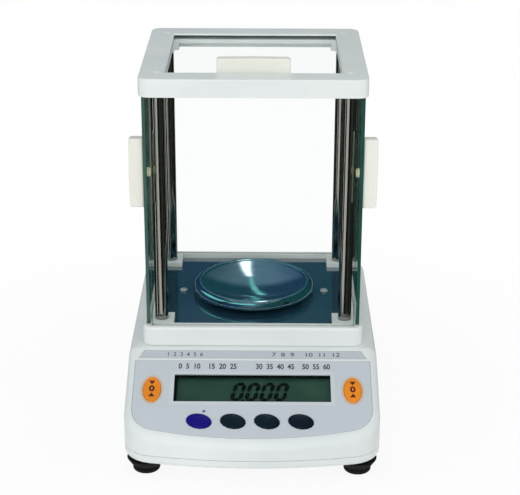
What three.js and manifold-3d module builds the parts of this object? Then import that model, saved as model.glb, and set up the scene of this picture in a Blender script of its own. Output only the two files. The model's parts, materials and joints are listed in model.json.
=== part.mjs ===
// Laboratory balance with a sliding glass draught shield.
// Millimetres. X runs to the right, Y to the rear and Z up from the table.
// The origin is on the table, under the middle of the case.

import * as THREE from "three";
import { mergeVertices } from "three/addons/utils/BufferGeometryUtils.js";
import Module from "manifold-3d";

const wasm = await Module();
wasm.setup();

// Fits
const clearance = 0.3; // gap between two parts that seat on each other
const keyGap = 0.4; // gap round a key cap in its opening
const overrun = 6; // how far a cutting solid runs past what it cuts
const overlap = 0.8; // how far a boss sinks into the wall that it grows from

// Case, an upper shell over a shallow tray
const caseWidth = 220;
const caseDepth = 308;
const caseUnderside = 15.4;
const trayRise = 8; // height of the tray's outer wall
const deckHeight = 82.2;
const frontHeight = 38.74; // the control panel's front edge, before it is rounded
const panelLength = 99; // from the bend to the front of the case, seen from above
const caseSkin = 2.8;
const trayFloor = 2.5;
const frontBowRadius = 450;
const frontCornerRadius = 28;
const rearCornerRadius = 14;
const caseRounding = 7;
const trayRounding = 3;
const bendRadius = 8; // where the deck turns down into the control panel
const panelLedge = 3.75; // strip of deck ahead of the shield
const lipThickness = 1.4;
const lipRise = 3;
const floorRibThickness = 1.6;
const floorRibHeight = 2.2;
const floorRibShares = [-0.5, 0.1, 0.7]; // of the way from the middle of the tray to its rear

// Draught shield
const shieldSetback = 22.75; // rear deck behind the shield
const deckMargin = 12; // deck beside the shield
const topFrameInset = 1; // top frame inside the base frame at each side
const baseFrameHeight = 17.7;
const topFrameHeight = 16;
const chamberHeight = 210.6; // from the base frame to the top frame
const frameCornerRadius = 9;
const frameRounding = 2.4;
const rimWidth = 9.5; // top of the base frame round the floor
const ledgeDepthX = 30.5; // ledge under the floor plate at the sides
const ledgeDepthY = 14.5; // ledge under the floor plate at front and rear
const topBarX = 22;
const topBarY = 22.25;
const topInnerWall = 9.4;
const skirtWidth = 9;
const postRadius = 6;
const postInsetX = 15;
const postInsetY = 21.25;
const postSocketDepth = 8;
const postThreadDepth = 18;
const cornerBlockReach = 11; // corner block inward of the post's centre

// Glass
const glassThickness = 3;
const doorSetback = 2.5; // side glass inside the top frame's outer face
const paneSetback = 4.25; // fixed glass inside the frames' front and rear faces
const paneEndGap = 7.5; // fixed glass short of the frame at each end
const grooveDepth = 3;
const topGrooveDepth = 5;
const lidCover = 2; // plastic over the sliding top glass
const lidSlotDepth = 3;
const lidFrontDepth = 5.5;

// Grips on the sliding glass
const gripLength = 62.5;
const gripReach = 12.5;
const lidGripReach = 14.4;
const gripThickness = 9;
const gripCornerRadius = 2.2;
const gripCrown = 0.4;
const gripBevel = 1.2;
const gripFrontGap = 0.5;
const gripInset = 8; // side grip's middle behind the glass's front edge
const sideGripHeight = 140; // side grip's middle above the base frame
const studRadius = 2.5;
const nutRadius = 4.3;
const nutHeight = 2.7;
const nutBoreDepth = 2.1;

// Weighing chamber floor and pan
const floorSink = 4; // floor plate below the base frame's top
const floorThickness = 2;
const floorHoleRadius = 23;
const floorScrewInset = 22.5; // floor screw in from the edge of the floor
const floorScrewHead = 3.6;
const floorScrewHeadHeight = 1.6;
const floorScrewShank = 1.6;
const floorScrewLength = 7;
const panRadius = 56.4;
const panRise = 12; // rim above the floor plate
const panDepth = 9.4;
const panSheet = 0.9;
const panFlatRadius = 15;
const panRimRadius = 1.8;
const panCurvePower = 5;
const panSpigotRadius = 14;
const panSpigotWall = 1.4;
const panSpigotDepth = 3;
const hubRadius = 19;
const hubHeight = 6;
const hubBevel = 0.8;
const spindleRadius = 7;
const deckHoleRadius = 16;

// Load cell and its base
const plinthHeight = 6; // tray pads under the cast base plate
const plinthRadius = 6;
const baseLength = 176;
const baseThickness = 6;
const baseCornerRadius = 8;
const basePocketDepth = 3;
const basePocketWall = 7;
const spacerLength = 28;
const spacerHeight = 8;
const cellWidth = 30;
const cellLength = 130;
const cellHeight = 22;
const cellOverhang = 66; // cell's fixed end behind the pan's centre
const cellBoreRadius = 7.5;
const cellBoreSpacing = 34;
const cellSlotHeight = 4;
const bracketThickness = 5;
const bracketTail = 14;
const bracketCornerRadius = 4;

// Control panel, measured down the slope from the bend, and in from the case's side or its front edge
const stripStart = 3.5;
const stripLength = 8.7;
const stripInset = 14.5;
const stripFlare = 5;
const overlayStart = 14.9;
const overlayInset = 6.6;
const overlayThickness = 1;
const windowStart = 31;
const windowKeyGap = 13.7; // from the window down to the row of keys
const windowSideGap = 11.3; // from the window across to the keys beside it
const windowBorder = 2.2;
const lcdOverlap = 4;
const lcdDepth = 3.1;
const lcdBezel = 1.4;
const lcdRecess = 0.4;
const boardDepth = 10;
const boardThickness = 1.6;
const boardInset = 15;
const boardPegMargin = 5; // board beyond its upper pegs
const boardKeyMargin = 11.5; // board beyond the middle of its lower keys
const pegRadius = 3;
const upperPegInset = 25;
const upperPegGap = 9.7; // from the upper peg down to the key beside the window
const lowerPegInset = 38;
const lowerPegRise = 12.5; // lower peg above the middle of the row of keys
const ledOffset = 4; // lamp to the right of the first key's middle
const ledRise = 10.9; // lamp above the middle of the row of keys
const ledRadius = 1.2;
const ledSink = 0.1;

// Keys
const keyTravel = 1;
const ovalKeyHalfWidth = 11;
const ovalKeyHalfHeight = 7.8;
const ovalKeyInset = 25.6; // middle of the row of keys up from the panel's front edge
const ovalKeySpacing = 29;
const ovalKeyShift = 1.7; // row of keys to the left of the panel's middle
const ovalKeyTilt = THREE.MathUtils.degToRad(-13);
const roundKeyHalfWidth = 7.7;
const roundKeyHalfHeight = 13.6;
const roundKeyDrop = 2.3; // middle of the keys beside the window, below its own middle
const roundKeyInset = 23;
const keyProud = 1.8;
const keyBevel = 0.9;
const keyFlange = 1.2;
const keyFlangeThickness = 1;
const keyStemRadius = 2.2;
const switchSize = 6;
const switchHeight = 2.7;

// Feet
const wheelInset = 19; // wheel's centre in from the side of the case
const wheelY = 30; // wheel's centre behind the front of the case
const wheelRadius = 17.4;
const wheelTaper = 5;
const wheelBottom = 4.2;
const wheelGap = 2.3; // from the wheel up to the case
const wheelFlutes = 16;
const wheelFluteDepth = 0.8;
const stemRadius = 4;
const stemReach = 13; // into the case
const footBossRadius = 8;
const footBossReach = 15; // into the case
const soleRadius = 11.8;
const soleChamfer = 2.2;
const soleHubRadius = 5;
const soleHubRise = 1.6;
const rearFootInset = 22;
const rearFootY = 26; // rear foot's centre ahead of the rear of the case
const rearFootRadius = 11;
const rearFootTaper = 1.5;
const rearPlugRadius = 3;
const rearPlugLength = 4.5;

// Screws that close the case
const caseScrewInset = 10.5;
const caseScrewRearY = 33; // ahead of the rear of the case
const caseScrewFrontY = 106; // behind the front of the case
const caseBossRadius = 4.5;
const caseScrewHead = 3.4;
const caseScrewHeadHeight = 1.8;
const caseScrewShank = 1.8;
const caseScrewLength = 15;
const screwPadRadius = 6.6;
const screwPadHeight = 4;
const counterboreDepth = 2.6;
const postScrewHead = 3.2;
const postScrewHeadHeight = 1.8;
const postScrewShank = 2;
const postScrewSink = 0.4;
const driveSlotWidth = 1;
const driveSlotDepth = 0.7;

// Sockets in the rear wall
const pocketInset = 30; // in from the case's right side
const pocketWidth = 72;
const pocketRise = 14; // above the parting line
const pocketHeight = 24;
const pocketDepth = 8;
const pocketWall = 2.6;
const jackInset = 16; // in from the pocket's right end
const jackRadius = 5.4;
const jackFlangeRadius = 7;
const jackFlangeThickness = 1.4;
const jackBoreRadius = 3.2;
const jackBoreDepth = 9;
const jackPinRadius = 1;
const jackLength = 11;
const portInset = 22; // in from the pocket's left end
const portFlangeWidth = 31;
const portFlangeHeight = 12.5;
const portFlangeThickness = 1;
const portShellWidth = 18;
const portShellHeight = 9.4;
const portShellFlare = 1.6;
const portShellReach = 5;
const portShellWall = 0.8;
const portBodyLength = 8;
const portPinRadius = 0.6;
const portPinPitch = 2.6;
const portPinRow = 1.55; // each row of pins off the socket's middle
const portPinReach = 3.5;

// Level vial and main board
const vialSideInset = 40; // vial's centre in from the case's right side
const vialInset = 13.4; // vial's centre ahead of the rear of the case
const vialRadius = 7;
const vialFlangeRadius = 8.2;
const vialFlangeHeight = 1.6;
const vialBodyHeight = 8;
const vialDish = 0.7;
const mainBoardWidth = 48;
const mainBoardLength = 120;
const mainBoardInset = 17; // board in from the case's side
const mainBoardGap = 9; // from the board to the base plate
const standoffHeight = 10;
const standoffRadius = 3.5;
const chipHeight = 3;
const plugBlockHeight = 9;

// Facets
const roundSides = 16;
const smallSides = 8;
const pinSides = 6;
const keySides = 14;
const arcSteps = 4;
const cornerSteps = 2;
const bowSteps = 5;
const panSides = 36;
const panSteps = 5;
const panRimSteps = 5;

// Places that follow from the sizes above
const halfCase = caseWidth / 2;
const rearY = caseDepth / 2;
const frontY = -caseDepth / 2;
const partingHeight = caseUnderside + trayRise;
const panelAngle = Math.atan2(deckHeight - frontHeight, panelLength);
const slopeLength = panelLength / Math.cos(panelAngle);
const bendY = frontY + panelLength;
const shieldFront = bendY + panelLedge;
const shieldRear = rearY - shieldSetback;
const shieldDepth = shieldRear - shieldFront;
const shieldY = (shieldRear + shieldFront) / 2;
const baseFrameWidth = caseWidth - 2 * deckMargin;
const topFrameWidth = baseFrameWidth - 2 * topFrameInset;
const baseFrameBottom = deckHeight + clearance;
const baseFrameTop = baseFrameBottom + baseFrameHeight;
const topFrameBottom = baseFrameTop + chamberHeight;
const topFrameTop = topFrameBottom + topFrameHeight;
const floorTop = baseFrameTop - floorSink;
const floorBottom = floorTop - floorThickness;
const ledgeTop = floorBottom - clearance;
const postX = topFrameWidth / 2 - postInsetX;
const postOffsetY = shieldDepth / 2 - postInsetY;
const doorOuterX = topFrameWidth / 2 - doorSetback;
const doorInnerX = doorOuterX - glassThickness;
const paneOuter = shieldDepth / 2 - paneSetback;
const paneInner = paneOuter - glassThickness;
const paneHalfWidth = topFrameWidth / 2 - paneEndGap;
const doorFrontY = shieldFront + paneSetback + glassThickness + gripFrontGap;
const openingHalfX = topFrameWidth / 2 - topBarX;
const openingHalfY = shieldDepth / 2 - topBarY;
const blockX = postX - cornerBlockReach;
const blockY = postOffsetY - cornerBlockReach;
const rimHalfX = baseFrameWidth / 2 - rimWidth;
const rimHalfY = shieldDepth / 2 - rimWidth;
const lidTop = topFrameTop - lidCover - clearance;
const lidBottom = lidTop - glassThickness;
const panRimTop = floorTop + panRise;
const panBottom = panRimTop - panDepth - panSheet;
const skinDepth = caseSkin * Math.cos(panelAngle); // skin measured square to the slope
const floorScrewX = rimHalfX - floorScrewInset;
const wheelX = halfCase - wheelInset;
const wheelHeight = caseUnderside - wheelGap - wheelBottom;
const stemTop = caseUnderside + stemReach;
const footBossTop = caseUnderside + footBossReach;
const rearFootX = halfCase - rearFootInset;
const caseScrewX = halfCase - caseScrewInset;
const stripHalfWidth = halfCase - stripInset;
const ovalKeyStart = slopeLength - ovalKeyInset;
const windowLength = ovalKeyStart - ovalKeyHalfHeight - windowKeyGap - windowStart;
const roundKeyX = halfCase - roundKeyInset;
const roundKeyStart = windowStart + windowLength / 2 + roundKeyDrop;
const windowHalfWidth = roundKeyX - roundKeyHalfWidth - windowSideGap;
const upperPegStart = roundKeyStart - roundKeyHalfHeight - upperPegGap;
const lowerPegStart = ovalKeyStart - lowerPegRise;
const boardStart = upperPegStart - boardPegMargin;
const boardLength = ovalKeyStart + boardKeyMargin - boardStart;
const boardHalfWidth = halfCase - boardInset;
const pocketRight = halfCase - pocketInset;
const pocketLeft = pocketRight - pocketWidth;
const pocketBottom = partingHeight + pocketRise;
const pocketTop = pocketBottom + pocketHeight;
const jackX = pocketRight - jackInset;
const portX = pocketLeft + portInset;
const vialX = halfCase - vialSideInset;
const mainBoardX = halfCase - mainBoardInset - mainBoardWidth / 2;
const baseWidth = 2 * (mainBoardX - mainBoardWidth / 2 - mainBoardGap);

const group = new THREE.Group();

function finish(color, roughness, metalness) {
  return { color, roughness, metalness };
}

const casePlastic = finish(0xe2e7e2, 0.42, 0);
const overlayFilm = finish(0xc6c9d6, 0.5, 0);
const stripFilm = finish(0xb4b9c2, 0.5, 0);
const clearGlass = finish(0xcfe6dc, 0.05, 0);
const steel = finish(0xb9bcbe, 0.18, 1);
const darkSteel = finish(0x2c3f52, 0.12, 1);
const aluminium = finish(0xa9adb1, 0.45, 1);
const blackPlastic = finish(0x141516, 0.6, 0);
const blackRubber = finish(0x101010, 0.85, 0);
const boardGreen = finish(0x1f5a36, 0.55, 0);
const displayGreen = finish(0x2a3f37, 0.3, 0);
const slateKey = finish(0x16243a, 0.35, 0);
const blueKey = finish(0x20108c, 0.35, 0);
const orangeKey = finish(0xe58a2c, 0.4, 0);
const paleLamp = finish(0xd9dbe8, 0.3, 0);
const creamPlastic = finish(0xe8e6c4, 0.45, 0);
const vialFluid = finish(0xb7cf5a, 0.1, 0);

// Solids from three.js shapes, joined and cut
function solidOf(geometry) {
  const bare = geometry.clone();
  bare.deleteAttribute("normal");
  bare.deleteAttribute("uv");
  const merged = mergeVertices(bare);
  const mesh = new wasm.Mesh({
    numProp: 3,
    vertProperties: Float32Array.from(merged.attributes.position.array),
    triVerts: Uint32Array.from(merged.index.array),
  });
  return new wasm.Manifold(mesh);
}

function geometryOf(solid) {
  const mesh = solid.getMesh();
  const geometry = new THREE.BufferGeometry();
  geometry.setAttribute("position", new THREE.BufferAttribute(Float32Array.from(mesh.vertProperties), 3));
  geometry.setIndex(new THREE.BufferAttribute(Uint32Array.from(mesh.triVerts), 1));
  return geometry;
}

function join(first, ...others) {
  return geometryOf(others.reduce((sum, item) => sum.add(solidOf(item)), solidOf(first)));
}

function cut(base, ...tools) {
  return geometryOf(tools.reduce((rest, item) => rest.subtract(solidOf(item)), solidOf(base)));
}

function common(first, second) {
  return geometryOf(solidOf(first).intersect(solidOf(second)));
}

function block(left, right, front, rear, bottom, top) {
  const geometry = new THREE.BoxGeometry(right - left, rear - front, top - bottom);
  return geometry.translate((left + right) / 2, (front + rear) / 2, (bottom + top) / 2);
}

function disc(radius, x, y, bottom, top, sides = roundSides) {
  const geometry = new THREE.CylinderGeometry(radius, radius, top - bottom, sides);
  return geometry.rotateX(Math.PI / 2).translate(x, y, (bottom + top) / 2);
}

function prism(shape, bottom, top, curveSegments = cornerSteps) {
  const geometry = new THREE.ExtrudeGeometry(shape, {
    depth: top - bottom,
    bevelEnabled: false,
    curveSegments,
  });
  return geometry.translate(0, 0, bottom);
}

// A prism whose rims are both rounded, keeping its outline at full size
function softPrism(shape, bottom, top, rounding, bevelSegments = cornerSteps) {
  const geometry = new THREE.ExtrudeGeometry(shape, {
    depth: top - bottom - 2 * rounding,
    bevelSize: rounding,
    bevelThickness: rounding,
    bevelOffset: -rounding,
    bevelSegments,
    curveSegments: cornerSteps,
  });
  return geometry.translate(0, 0, bottom + rounding);
}

function turned(profile, sides = roundSides) {
  const points = profile.map(([radius, height]) => new THREE.Vector2(radius, height));
  return new THREE.LatheGeometry(points, sides).rotateX(Math.PI / 2);
}

function roundedRectangle(halfX, halfY, radius, path = new THREE.Shape()) {
  path.moveTo(halfX - radius, -halfY);
  path.absarc(halfX - radius, -halfY + radius, radius, -Math.PI / 2, 0, false);
  path.absarc(halfX - radius, halfY - radius, radius, 0, Math.PI / 2, false);
  path.absarc(-halfX + radius, halfY - radius, radius, Math.PI / 2, Math.PI, false);
  path.absarc(-halfX + radius, -halfY + radius, radius, Math.PI, 1.5 * Math.PI, false);
  return path;
}

function rectangle(halfX, halfY, path = new THREE.Shape()) {
  path.moveTo(-halfX, -halfY);
  path.lineTo(halfX, -halfY);
  path.lineTo(halfX, halfY);
  path.lineTo(-halfX, halfY);
  path.closePath();
  return path;
}

function ellipse(halfX, halfY) {
  return new THREE.Shape(Array.from({ length: keySides }, (_, step) => {
    const angle = (2 * Math.PI * step) / keySides;
    return new THREE.Vector2(halfX * Math.cos(angle), halfY * Math.sin(angle));
  }));
}

// Lays a geometry that is drawn flat (X across, Y up the slope, Z out) on the control panel
function onPanel(geometry, across = 0, down = 0) {
  return geometry.translate(across, -down, 0).rotateX(panelAngle).translate(0, bendY, deckHeight);
}

// Lays a geometry that is drawn flat (X across, Z out) on the back of the socket pocket
function onRearWall(geometry, across) {
  const middle = (pocketBottom + pocketTop) / 2;
  return geometry.rotateX(-Math.PI / 2).translate(across, rearY - pocketDepth, middle);
}

// The tapered outline of the data socket
function portShape(grow) {
  const shape = new THREE.Shape();
  const wide = portShellWidth / 2 + grow;
  const tall = portShellHeight / 2 + grow;
  shape.moveTo(-wide + portShellFlare, tall);
  shape.lineTo(-wide, -tall);
  shape.lineTo(wide, -tall);
  shape.lineTo(wide - portShellFlare, tall);
  shape.closePath();
  return shape;
}

function add(name, geometry, look) {
  const mesh = new THREE.Mesh(geometry, new THREE.MeshStandardMaterial(look));
  mesh.name = name;
  group.add(mesh);
  return mesh;
}

// The case seen from above: right-hand half, from the middle of the rear to the middle of the front.
// Every point has its twin on the left at the same Y, apart from the last one.
const bendSetback = bendRadius * Math.tan(panelAngle / 2);
const bendStations = Array.from({ length: arcSteps + 1 }, (_, step) => {
  return bendY + bendSetback - bendRadius * Math.sin((panelAngle * step) / arcSteps);
});

function arcPoints(x, y, radius, from, to, steps) {
  return Array.from({ length: steps + 1 }, (_, step) => {
    const angle = from + ((to - from) * step) / steps;
    return [x + radius * Math.cos(angle), y + radius * Math.sin(angle)];
  });
}

function halfPlan(inset) {
  const bowY = frontY + frontBowRadius;
  const bowAngle = Math.asin((halfCase - frontCornerRadius) / (frontBowRadius - frontCornerRadius));
  const cornerY = bowY - (frontBowRadius - frontCornerRadius) * Math.cos(bowAngle);
  const down = -Math.PI / 2;
  const rearCorner = arcPoints(halfCase - rearCornerRadius, rearY - rearCornerRadius,
    rearCornerRadius - inset, Math.PI / 2, 0, arcSteps);
  const side = bendStations.map((y) => [halfCase - inset, y]);
  const frontCorner = arcPoints(halfCase - frontCornerRadius, cornerY,
    frontCornerRadius - inset, 0, down + bowAngle, arcSteps + 2);
  const bow = arcPoints(0, bowY, frontBowRadius - inset, down + bowAngle, down, bowSteps).slice(1);
  bow[bow.length - 1][0] = 0;
  return [...rearCorner, ...side, ...frontCorner, ...bow];
}

function casePlan(inset) {
  const right = halfPlan(inset);
  const left = right.slice(0, -1).reverse().map(([x, y]) => [-x, y]);
  return [...right, ...left];
}

function caseOutline(inset) {
  return new THREE.Shape(casePlan(inset).map(([x, y]) => new THREE.Vector2(x, y)));
}

// Height of the case's top face: flat deck, a round bend, then the straight slope
function caseTop(y) {
  const bendCentreY = bendY + bendSetback;
  if (y >= bendCentreY) return deckHeight;
  const slopeY = bendCentreY - bendRadius * Math.sin(panelAngle);
  if (y <= slopeY) return deckHeight - (bendY - y) * Math.tan(panelAngle);
  return deckHeight - bendRadius + Math.sqrt(bendRadius ** 2 - (bendCentreY - y) ** 2);
}

// A moulding lofted through levels of the case plan; each level has its inset and its height over Y
function loftCase(levels) {
  const rings = levels.map(({ inset, height }) => casePlan(inset).map(([x, y]) => [x, y, height(y)]));
  const count = rings[0].length;
  const position = rings.flat(2);
  const index = [];
  for (let level = 0; level < rings.length - 1; level += 1) {
    for (let point = 0; point < count; point += 1) {
      const next = (point + 1) % count;
      const low = level * count;
      const high = low + count;
      index.push(low + point, high + point, high + next);
      index.push(low + point, high + next, low + next);
    }
  }
  const top = (rings.length - 1) * count;
  for (let rung = 0; rung < (count - 1) / 2; rung += 1) {
    const right = rung;
    const left = count - 1 - rung;
    const lastRung = right + 1 === left - 1;
    index.push(right, right + 1, left);
    index.push(top + right, top + left, top + right + 1);
    if (!lastRung) {
      index.push(right + 1, left - 1, left);
      index.push(top + right + 1, top + left, top + left - 1);
    }
  }
  const geometry = new THREE.BufferGeometry();
  geometry.setAttribute("position", new THREE.Float32BufferAttribute(position, 3));
  geometry.setIndex(index);
  return geometry;
}

function roundedTopLevels(inset, drop, bottom, rounding, steps) {
  const levels = [{ inset, height: () => bottom }];
  for (let step = 0; step <= steps; step += 1) {
    const angle = (Math.PI / 2) * (step / steps);
    const rise = rounding * (Math.sin(angle) - 1) - drop;
    levels.push({ inset: inset + rounding * (1 - Math.cos(angle)), height: (y) => caseTop(y) + rise });
  }
  return levels;
}

const wheelPlaces = [
  ["left", -wheelX],
  ["right", wheelX],
];
const caseScrewPlaces = [
  ["rear_left", -caseScrewX, rearY - caseScrewRearY],
  ["rear_right", caseScrewX, rearY - caseScrewRearY],
  ["front_left", -caseScrewX, frontY + caseScrewFrontY],
  ["front_right", caseScrewX, frontY + caseScrewFrontY],
];
const basePlateY = shieldY + cellOverhang - baseLength / 2 + basePocketWall;
const basePads = [-1, 1].flatMap((sideX) => [-1, 1].map((sideY) => {
  const inset = baseCornerRadius;
  return [sideX * (baseWidth / 2 - inset), basePlateY + sideY * (baseLength / 2 - inset)];
}));
const mainBoardY = basePlateY;
const boardPads = [-1, 1].flatMap((sideX) => [-1, 1].map((sideY) => {
  const inset = standoffRadius;
  return [
    mainBoardX + sideX * (mainBoardWidth / 2 - inset),
    mainBoardY + sideY * (mainBoardLength / 2 - inset),
  ];
}));

// Keys: place across the panel, down the slope, half width, half height, tilt and look
const ovalNames = ["key_power", "key_mode", "key_count", "key_print"];
const keys = ovalNames.map((name, step) => ({
  name,
  across: (step - (ovalNames.length - 1) / 2) * ovalKeySpacing - ovalKeyShift,
  down: ovalKeyStart,
  halfX: ovalKeyHalfWidth,
  halfY: ovalKeyHalfHeight,
  tilt: ovalKeyTilt,
  look: step === 0 ? blueKey : slateKey,
}));
for (const [name, side] of [["key_tare_left", -1], ["key_tare_right", 1]]) {
  keys.push({
    name,
    across: side * roundKeyX,
    down: roundKeyStart,
    halfX: roundKeyHalfWidth,
    halfY: roundKeyHalfHeight,
    tilt: 0,
    look: orangeKey,
  });
}

function keySolid(key, grow, bottom, top) {
  const outline = ellipse(key.halfX + grow, key.halfY + grow);
  return onPanel(prism(outline, bottom, top).rotateZ(key.tilt), key.across, key.down);
}

// Lays a geometry on the panel at the lamp, which belongs to the first key
function atLamp(geometry) {
  return onPanel(geometry, keys[0].across + ledOffset, ovalKeyStart - ledRise);
}

const boardTop = -boardDepth;
const recessFloor = -overlayThickness - clearance;

function panelBlock(halfX, start, length, bottom, top) {
  return onPanel(block(-halfX, halfX, -start - length, -start, bottom, top));
}

function stripPlate(grow, bottom, top) {
  const shape = new THREE.Shape();
  shape.moveTo(-stripHalfWidth - grow, grow);
  shape.lineTo(-stripHalfWidth - stripFlare - grow, -stripLength - grow);
  shape.lineTo(stripHalfWidth + stripFlare + grow, -stripLength - grow);
  shape.lineTo(stripHalfWidth + grow, grow);
  shape.closePath();
  return onPanel(prism(shape, bottom, top), 0, stripStart);
}

// The overlay follows the case's own outline at its sides and front
function overlayPlate(inset, start, bottom, top) {
  const slab = panelBlock(halfCase, start, caseDepth / 2, bottom, top);
  return common(prism(caseOutline(inset), 0, deckHeight), slab);
}

// Upper case: a lofted moulding, hollow from below, with its panel recesses and bosses
function makeUpperCase() {
  const bottom = partingHeight + clearance;
  const outer = loftCase(roundedTopLevels(0, 0, bottom, caseRounding, arcSteps));
  const inner = loftCase(roundedTopLevels(caseSkin, caseSkin, bottom - overrun, caseRounding - caseSkin,
    cornerSteps));
  const bosses = caseScrewPlaces.map(([, x, y]) => {
    const foot = caseUnderside + screwPadHeight + clearance;
    return disc(caseBossRadius, x, y, foot, caseTop(y) - caseSkin + overlap, smallSides);
  });
  const pegPlaces = [[upperPegInset, upperPegStart], [lowerPegInset, lowerPegStart]];
  const pegs = [-1, 1].flatMap((side) => pegPlaces.map(([inset, down]) => {
    const peg = disc(pegRadius, 0, 0, boardTop + clearance, overlap - skinDepth, smallSides);
    return onPanel(peg, side * (halfCase - inset), down);
  }));
  const pocketShell = block(pocketLeft - pocketWall, pocketRight + pocketWall,
    rearY - pocketDepth - pocketWall, rearY - caseSkin + overlap,
    pocketBottom - pocketWall, pocketTop + pocketWall);
  const shell = join(cut(outer, inner), ...bosses, ...pegs, pocketShell);
  const pocket = block(pocketLeft, pocketRight, rearY - pocketDepth, rearY + overrun, pocketBottom,
    pocketTop);
  const jackHole = disc(jackRadius + clearance, 0, 0, -overrun, overrun, smallSides);
  const portHole = prism(portShape(clearance), -overrun, overrun);
  const screwBores = caseScrewPlaces.map(([, x, y]) => {
    const tip = caseUnderside + counterboreDepth + caseScrewLength + clearance;
    return disc(caseScrewShank + clearance, x, y, caseUnderside, tip, smallSides);
  });
  const keyHoles = keys.map((key) => keySolid(key, keyGap, -boardDepth / 2, overrun));
  const led = atLamp(disc(ledRadius + clearance, 0, 0, -boardDepth / 2, overrun, smallSides));
  return cut(
    shell,
    pocket,
    onRearWall(jackHole, jackX),
    onRearWall(portHole, portX),
    ...screwBores,
    overlayPlate(overlayInset, overlayStart, recessFloor, overrun),
    stripPlate(clearance, recessFloor, overrun),
    panelBlock(windowHalfWidth, windowStart, windowLength, -boardDepth / 2, overrun),
    ...keyHoles,
    led,
    disc(deckHoleRadius, 0, shieldY, deckHeight - caseSkin - overrun, deckHeight + overrun),
    disc(vialRadius + clearance, vialX, rearY - vialInset, deckHeight - caseSkin - overrun,
      deckHeight + overrun),
  );
}

// Lower case: a tray with a locating lip, floor ribs, pads, screw seats and foot bosses
function makeLowerCase() {
  const rounding = Array.from({ length: cornerSteps + 1 }, (_, step) => {
    const angle = (Math.PI / 2) * (step / cornerSteps);
    const height = caseUnderside + trayRounding * (1 - Math.cos(angle));
    return { inset: trayRounding * (1 - Math.sin(angle)), height: () => height };
  });
  const lipInset = caseSkin + clearance;
  const body = loftCase([...rounding, { inset: 0, height: () => partingHeight }]);
  const lip = loftCase([
    { inset: lipInset, height: () => caseUnderside + trayFloor / 2 },
    { inset: lipInset, height: () => partingHeight + lipRise },
  ]);
  const hollow = loftCase([
    { inset: lipInset + lipThickness, height: () => caseUnderside + trayFloor },
    { inset: lipInset + lipThickness, height: () => partingHeight + lipRise + overrun },
  ]);
  const floorLevel = caseUnderside + trayFloor;
  const underFloor = floorLevel - overlap;
  const ribTop = floorLevel + floorRibHeight;
  const ribHalfX = halfCase - lipInset - lipThickness + overlap;
  const acrossRibs = floorRibShares.map((share) => {
    const y = share * rearY;
    return block(-ribHalfX, ribHalfX, y, y + floorRibThickness, underFloor, ribTop);
  });
  const alongRibs = [-1, 1].map((side) => {
    const x = side * (baseWidth / 2 + plinthRadius);
    return block(x, x + floorRibThickness, frontY / 2 + floorRibThickness / 2, rearY - rearCornerRadius,
      underFloor, ribTop);
  });
  const footBosses = wheelPlaces.map(([, x]) => {
    return disc(footBossRadius, x, frontY + wheelY, underFloor, footBossTop, smallSides);
  });
  const plinths = basePads.map(([x, y]) => {
    return disc(plinthRadius, x, y, underFloor, caseUnderside + plinthHeight);
  });
  const standoffs = boardPads.map(([x, y]) => {
    return disc(standoffRadius, x, y, underFloor, caseUnderside + standoffHeight, smallSides);
  });
  const screwPads = caseScrewPlaces.map(([, x, y]) => {
    return disc(screwPadRadius, x, y, underFloor, caseUnderside + screwPadHeight, smallSides);
  });
  const tray = join(cut(join(body, lip), hollow), ...acrossRibs, ...alongRibs,
    ...footBosses, ...plinths, ...standoffs, ...screwPads);
  const bossClearance = caseScrewPlaces.map(([, x, y]) => {
    const seat = caseUnderside + screwPadHeight;
    return disc(caseBossRadius + clearance, x, y, seat, partingHeight + lipRise + overrun, smallSides);
  });
  return cut(
    tray,
    ...bossClearance,
    ...wheelPlaces.map(([, x]) => {
      return disc(stemRadius + clearance, x, frontY + wheelY, caseUnderside - overrun, footBossTop + overrun);
    }),
    ...caseScrewPlaces.flatMap(([, x, y]) => [
      disc(caseScrewShank + clearance, x, y, caseUnderside - overrun, partingHeight, smallSides),
      disc(caseScrewHead + clearance, x, y, caseUnderside - overrun, caseUnderside + counterboreDepth,
        smallSides),
    ]),
    ...[-1, 1].map((side) => {
      return disc(rearPlugRadius + clearance, side * rearFootX, rearY - rearFootY,
        caseUnderside - overrun, partingHeight, smallSides);
    }),
  );
}

// A pan-head screw with a straight drive slot, standing head up with the head's underside at zero
function screwSolid(headRadius, headHeight, shankRadius, length) {
  const blank = turned([
    [0, -length],
    [shankRadius, -length],
    [shankRadius, 0],
    [headRadius, 0],
    [headRadius, headHeight / 2],
    [headRadius / 2, headHeight],
    [0, headHeight],
  ], smallSides);
  const slotHalf = driveSlotWidth / 2;
  return cut(blank, block(-headRadius, headRadius, -slotHalf, slotHalf, headHeight - driveSlotDepth,
    headHeight + driveSlotDepth));
}

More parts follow.
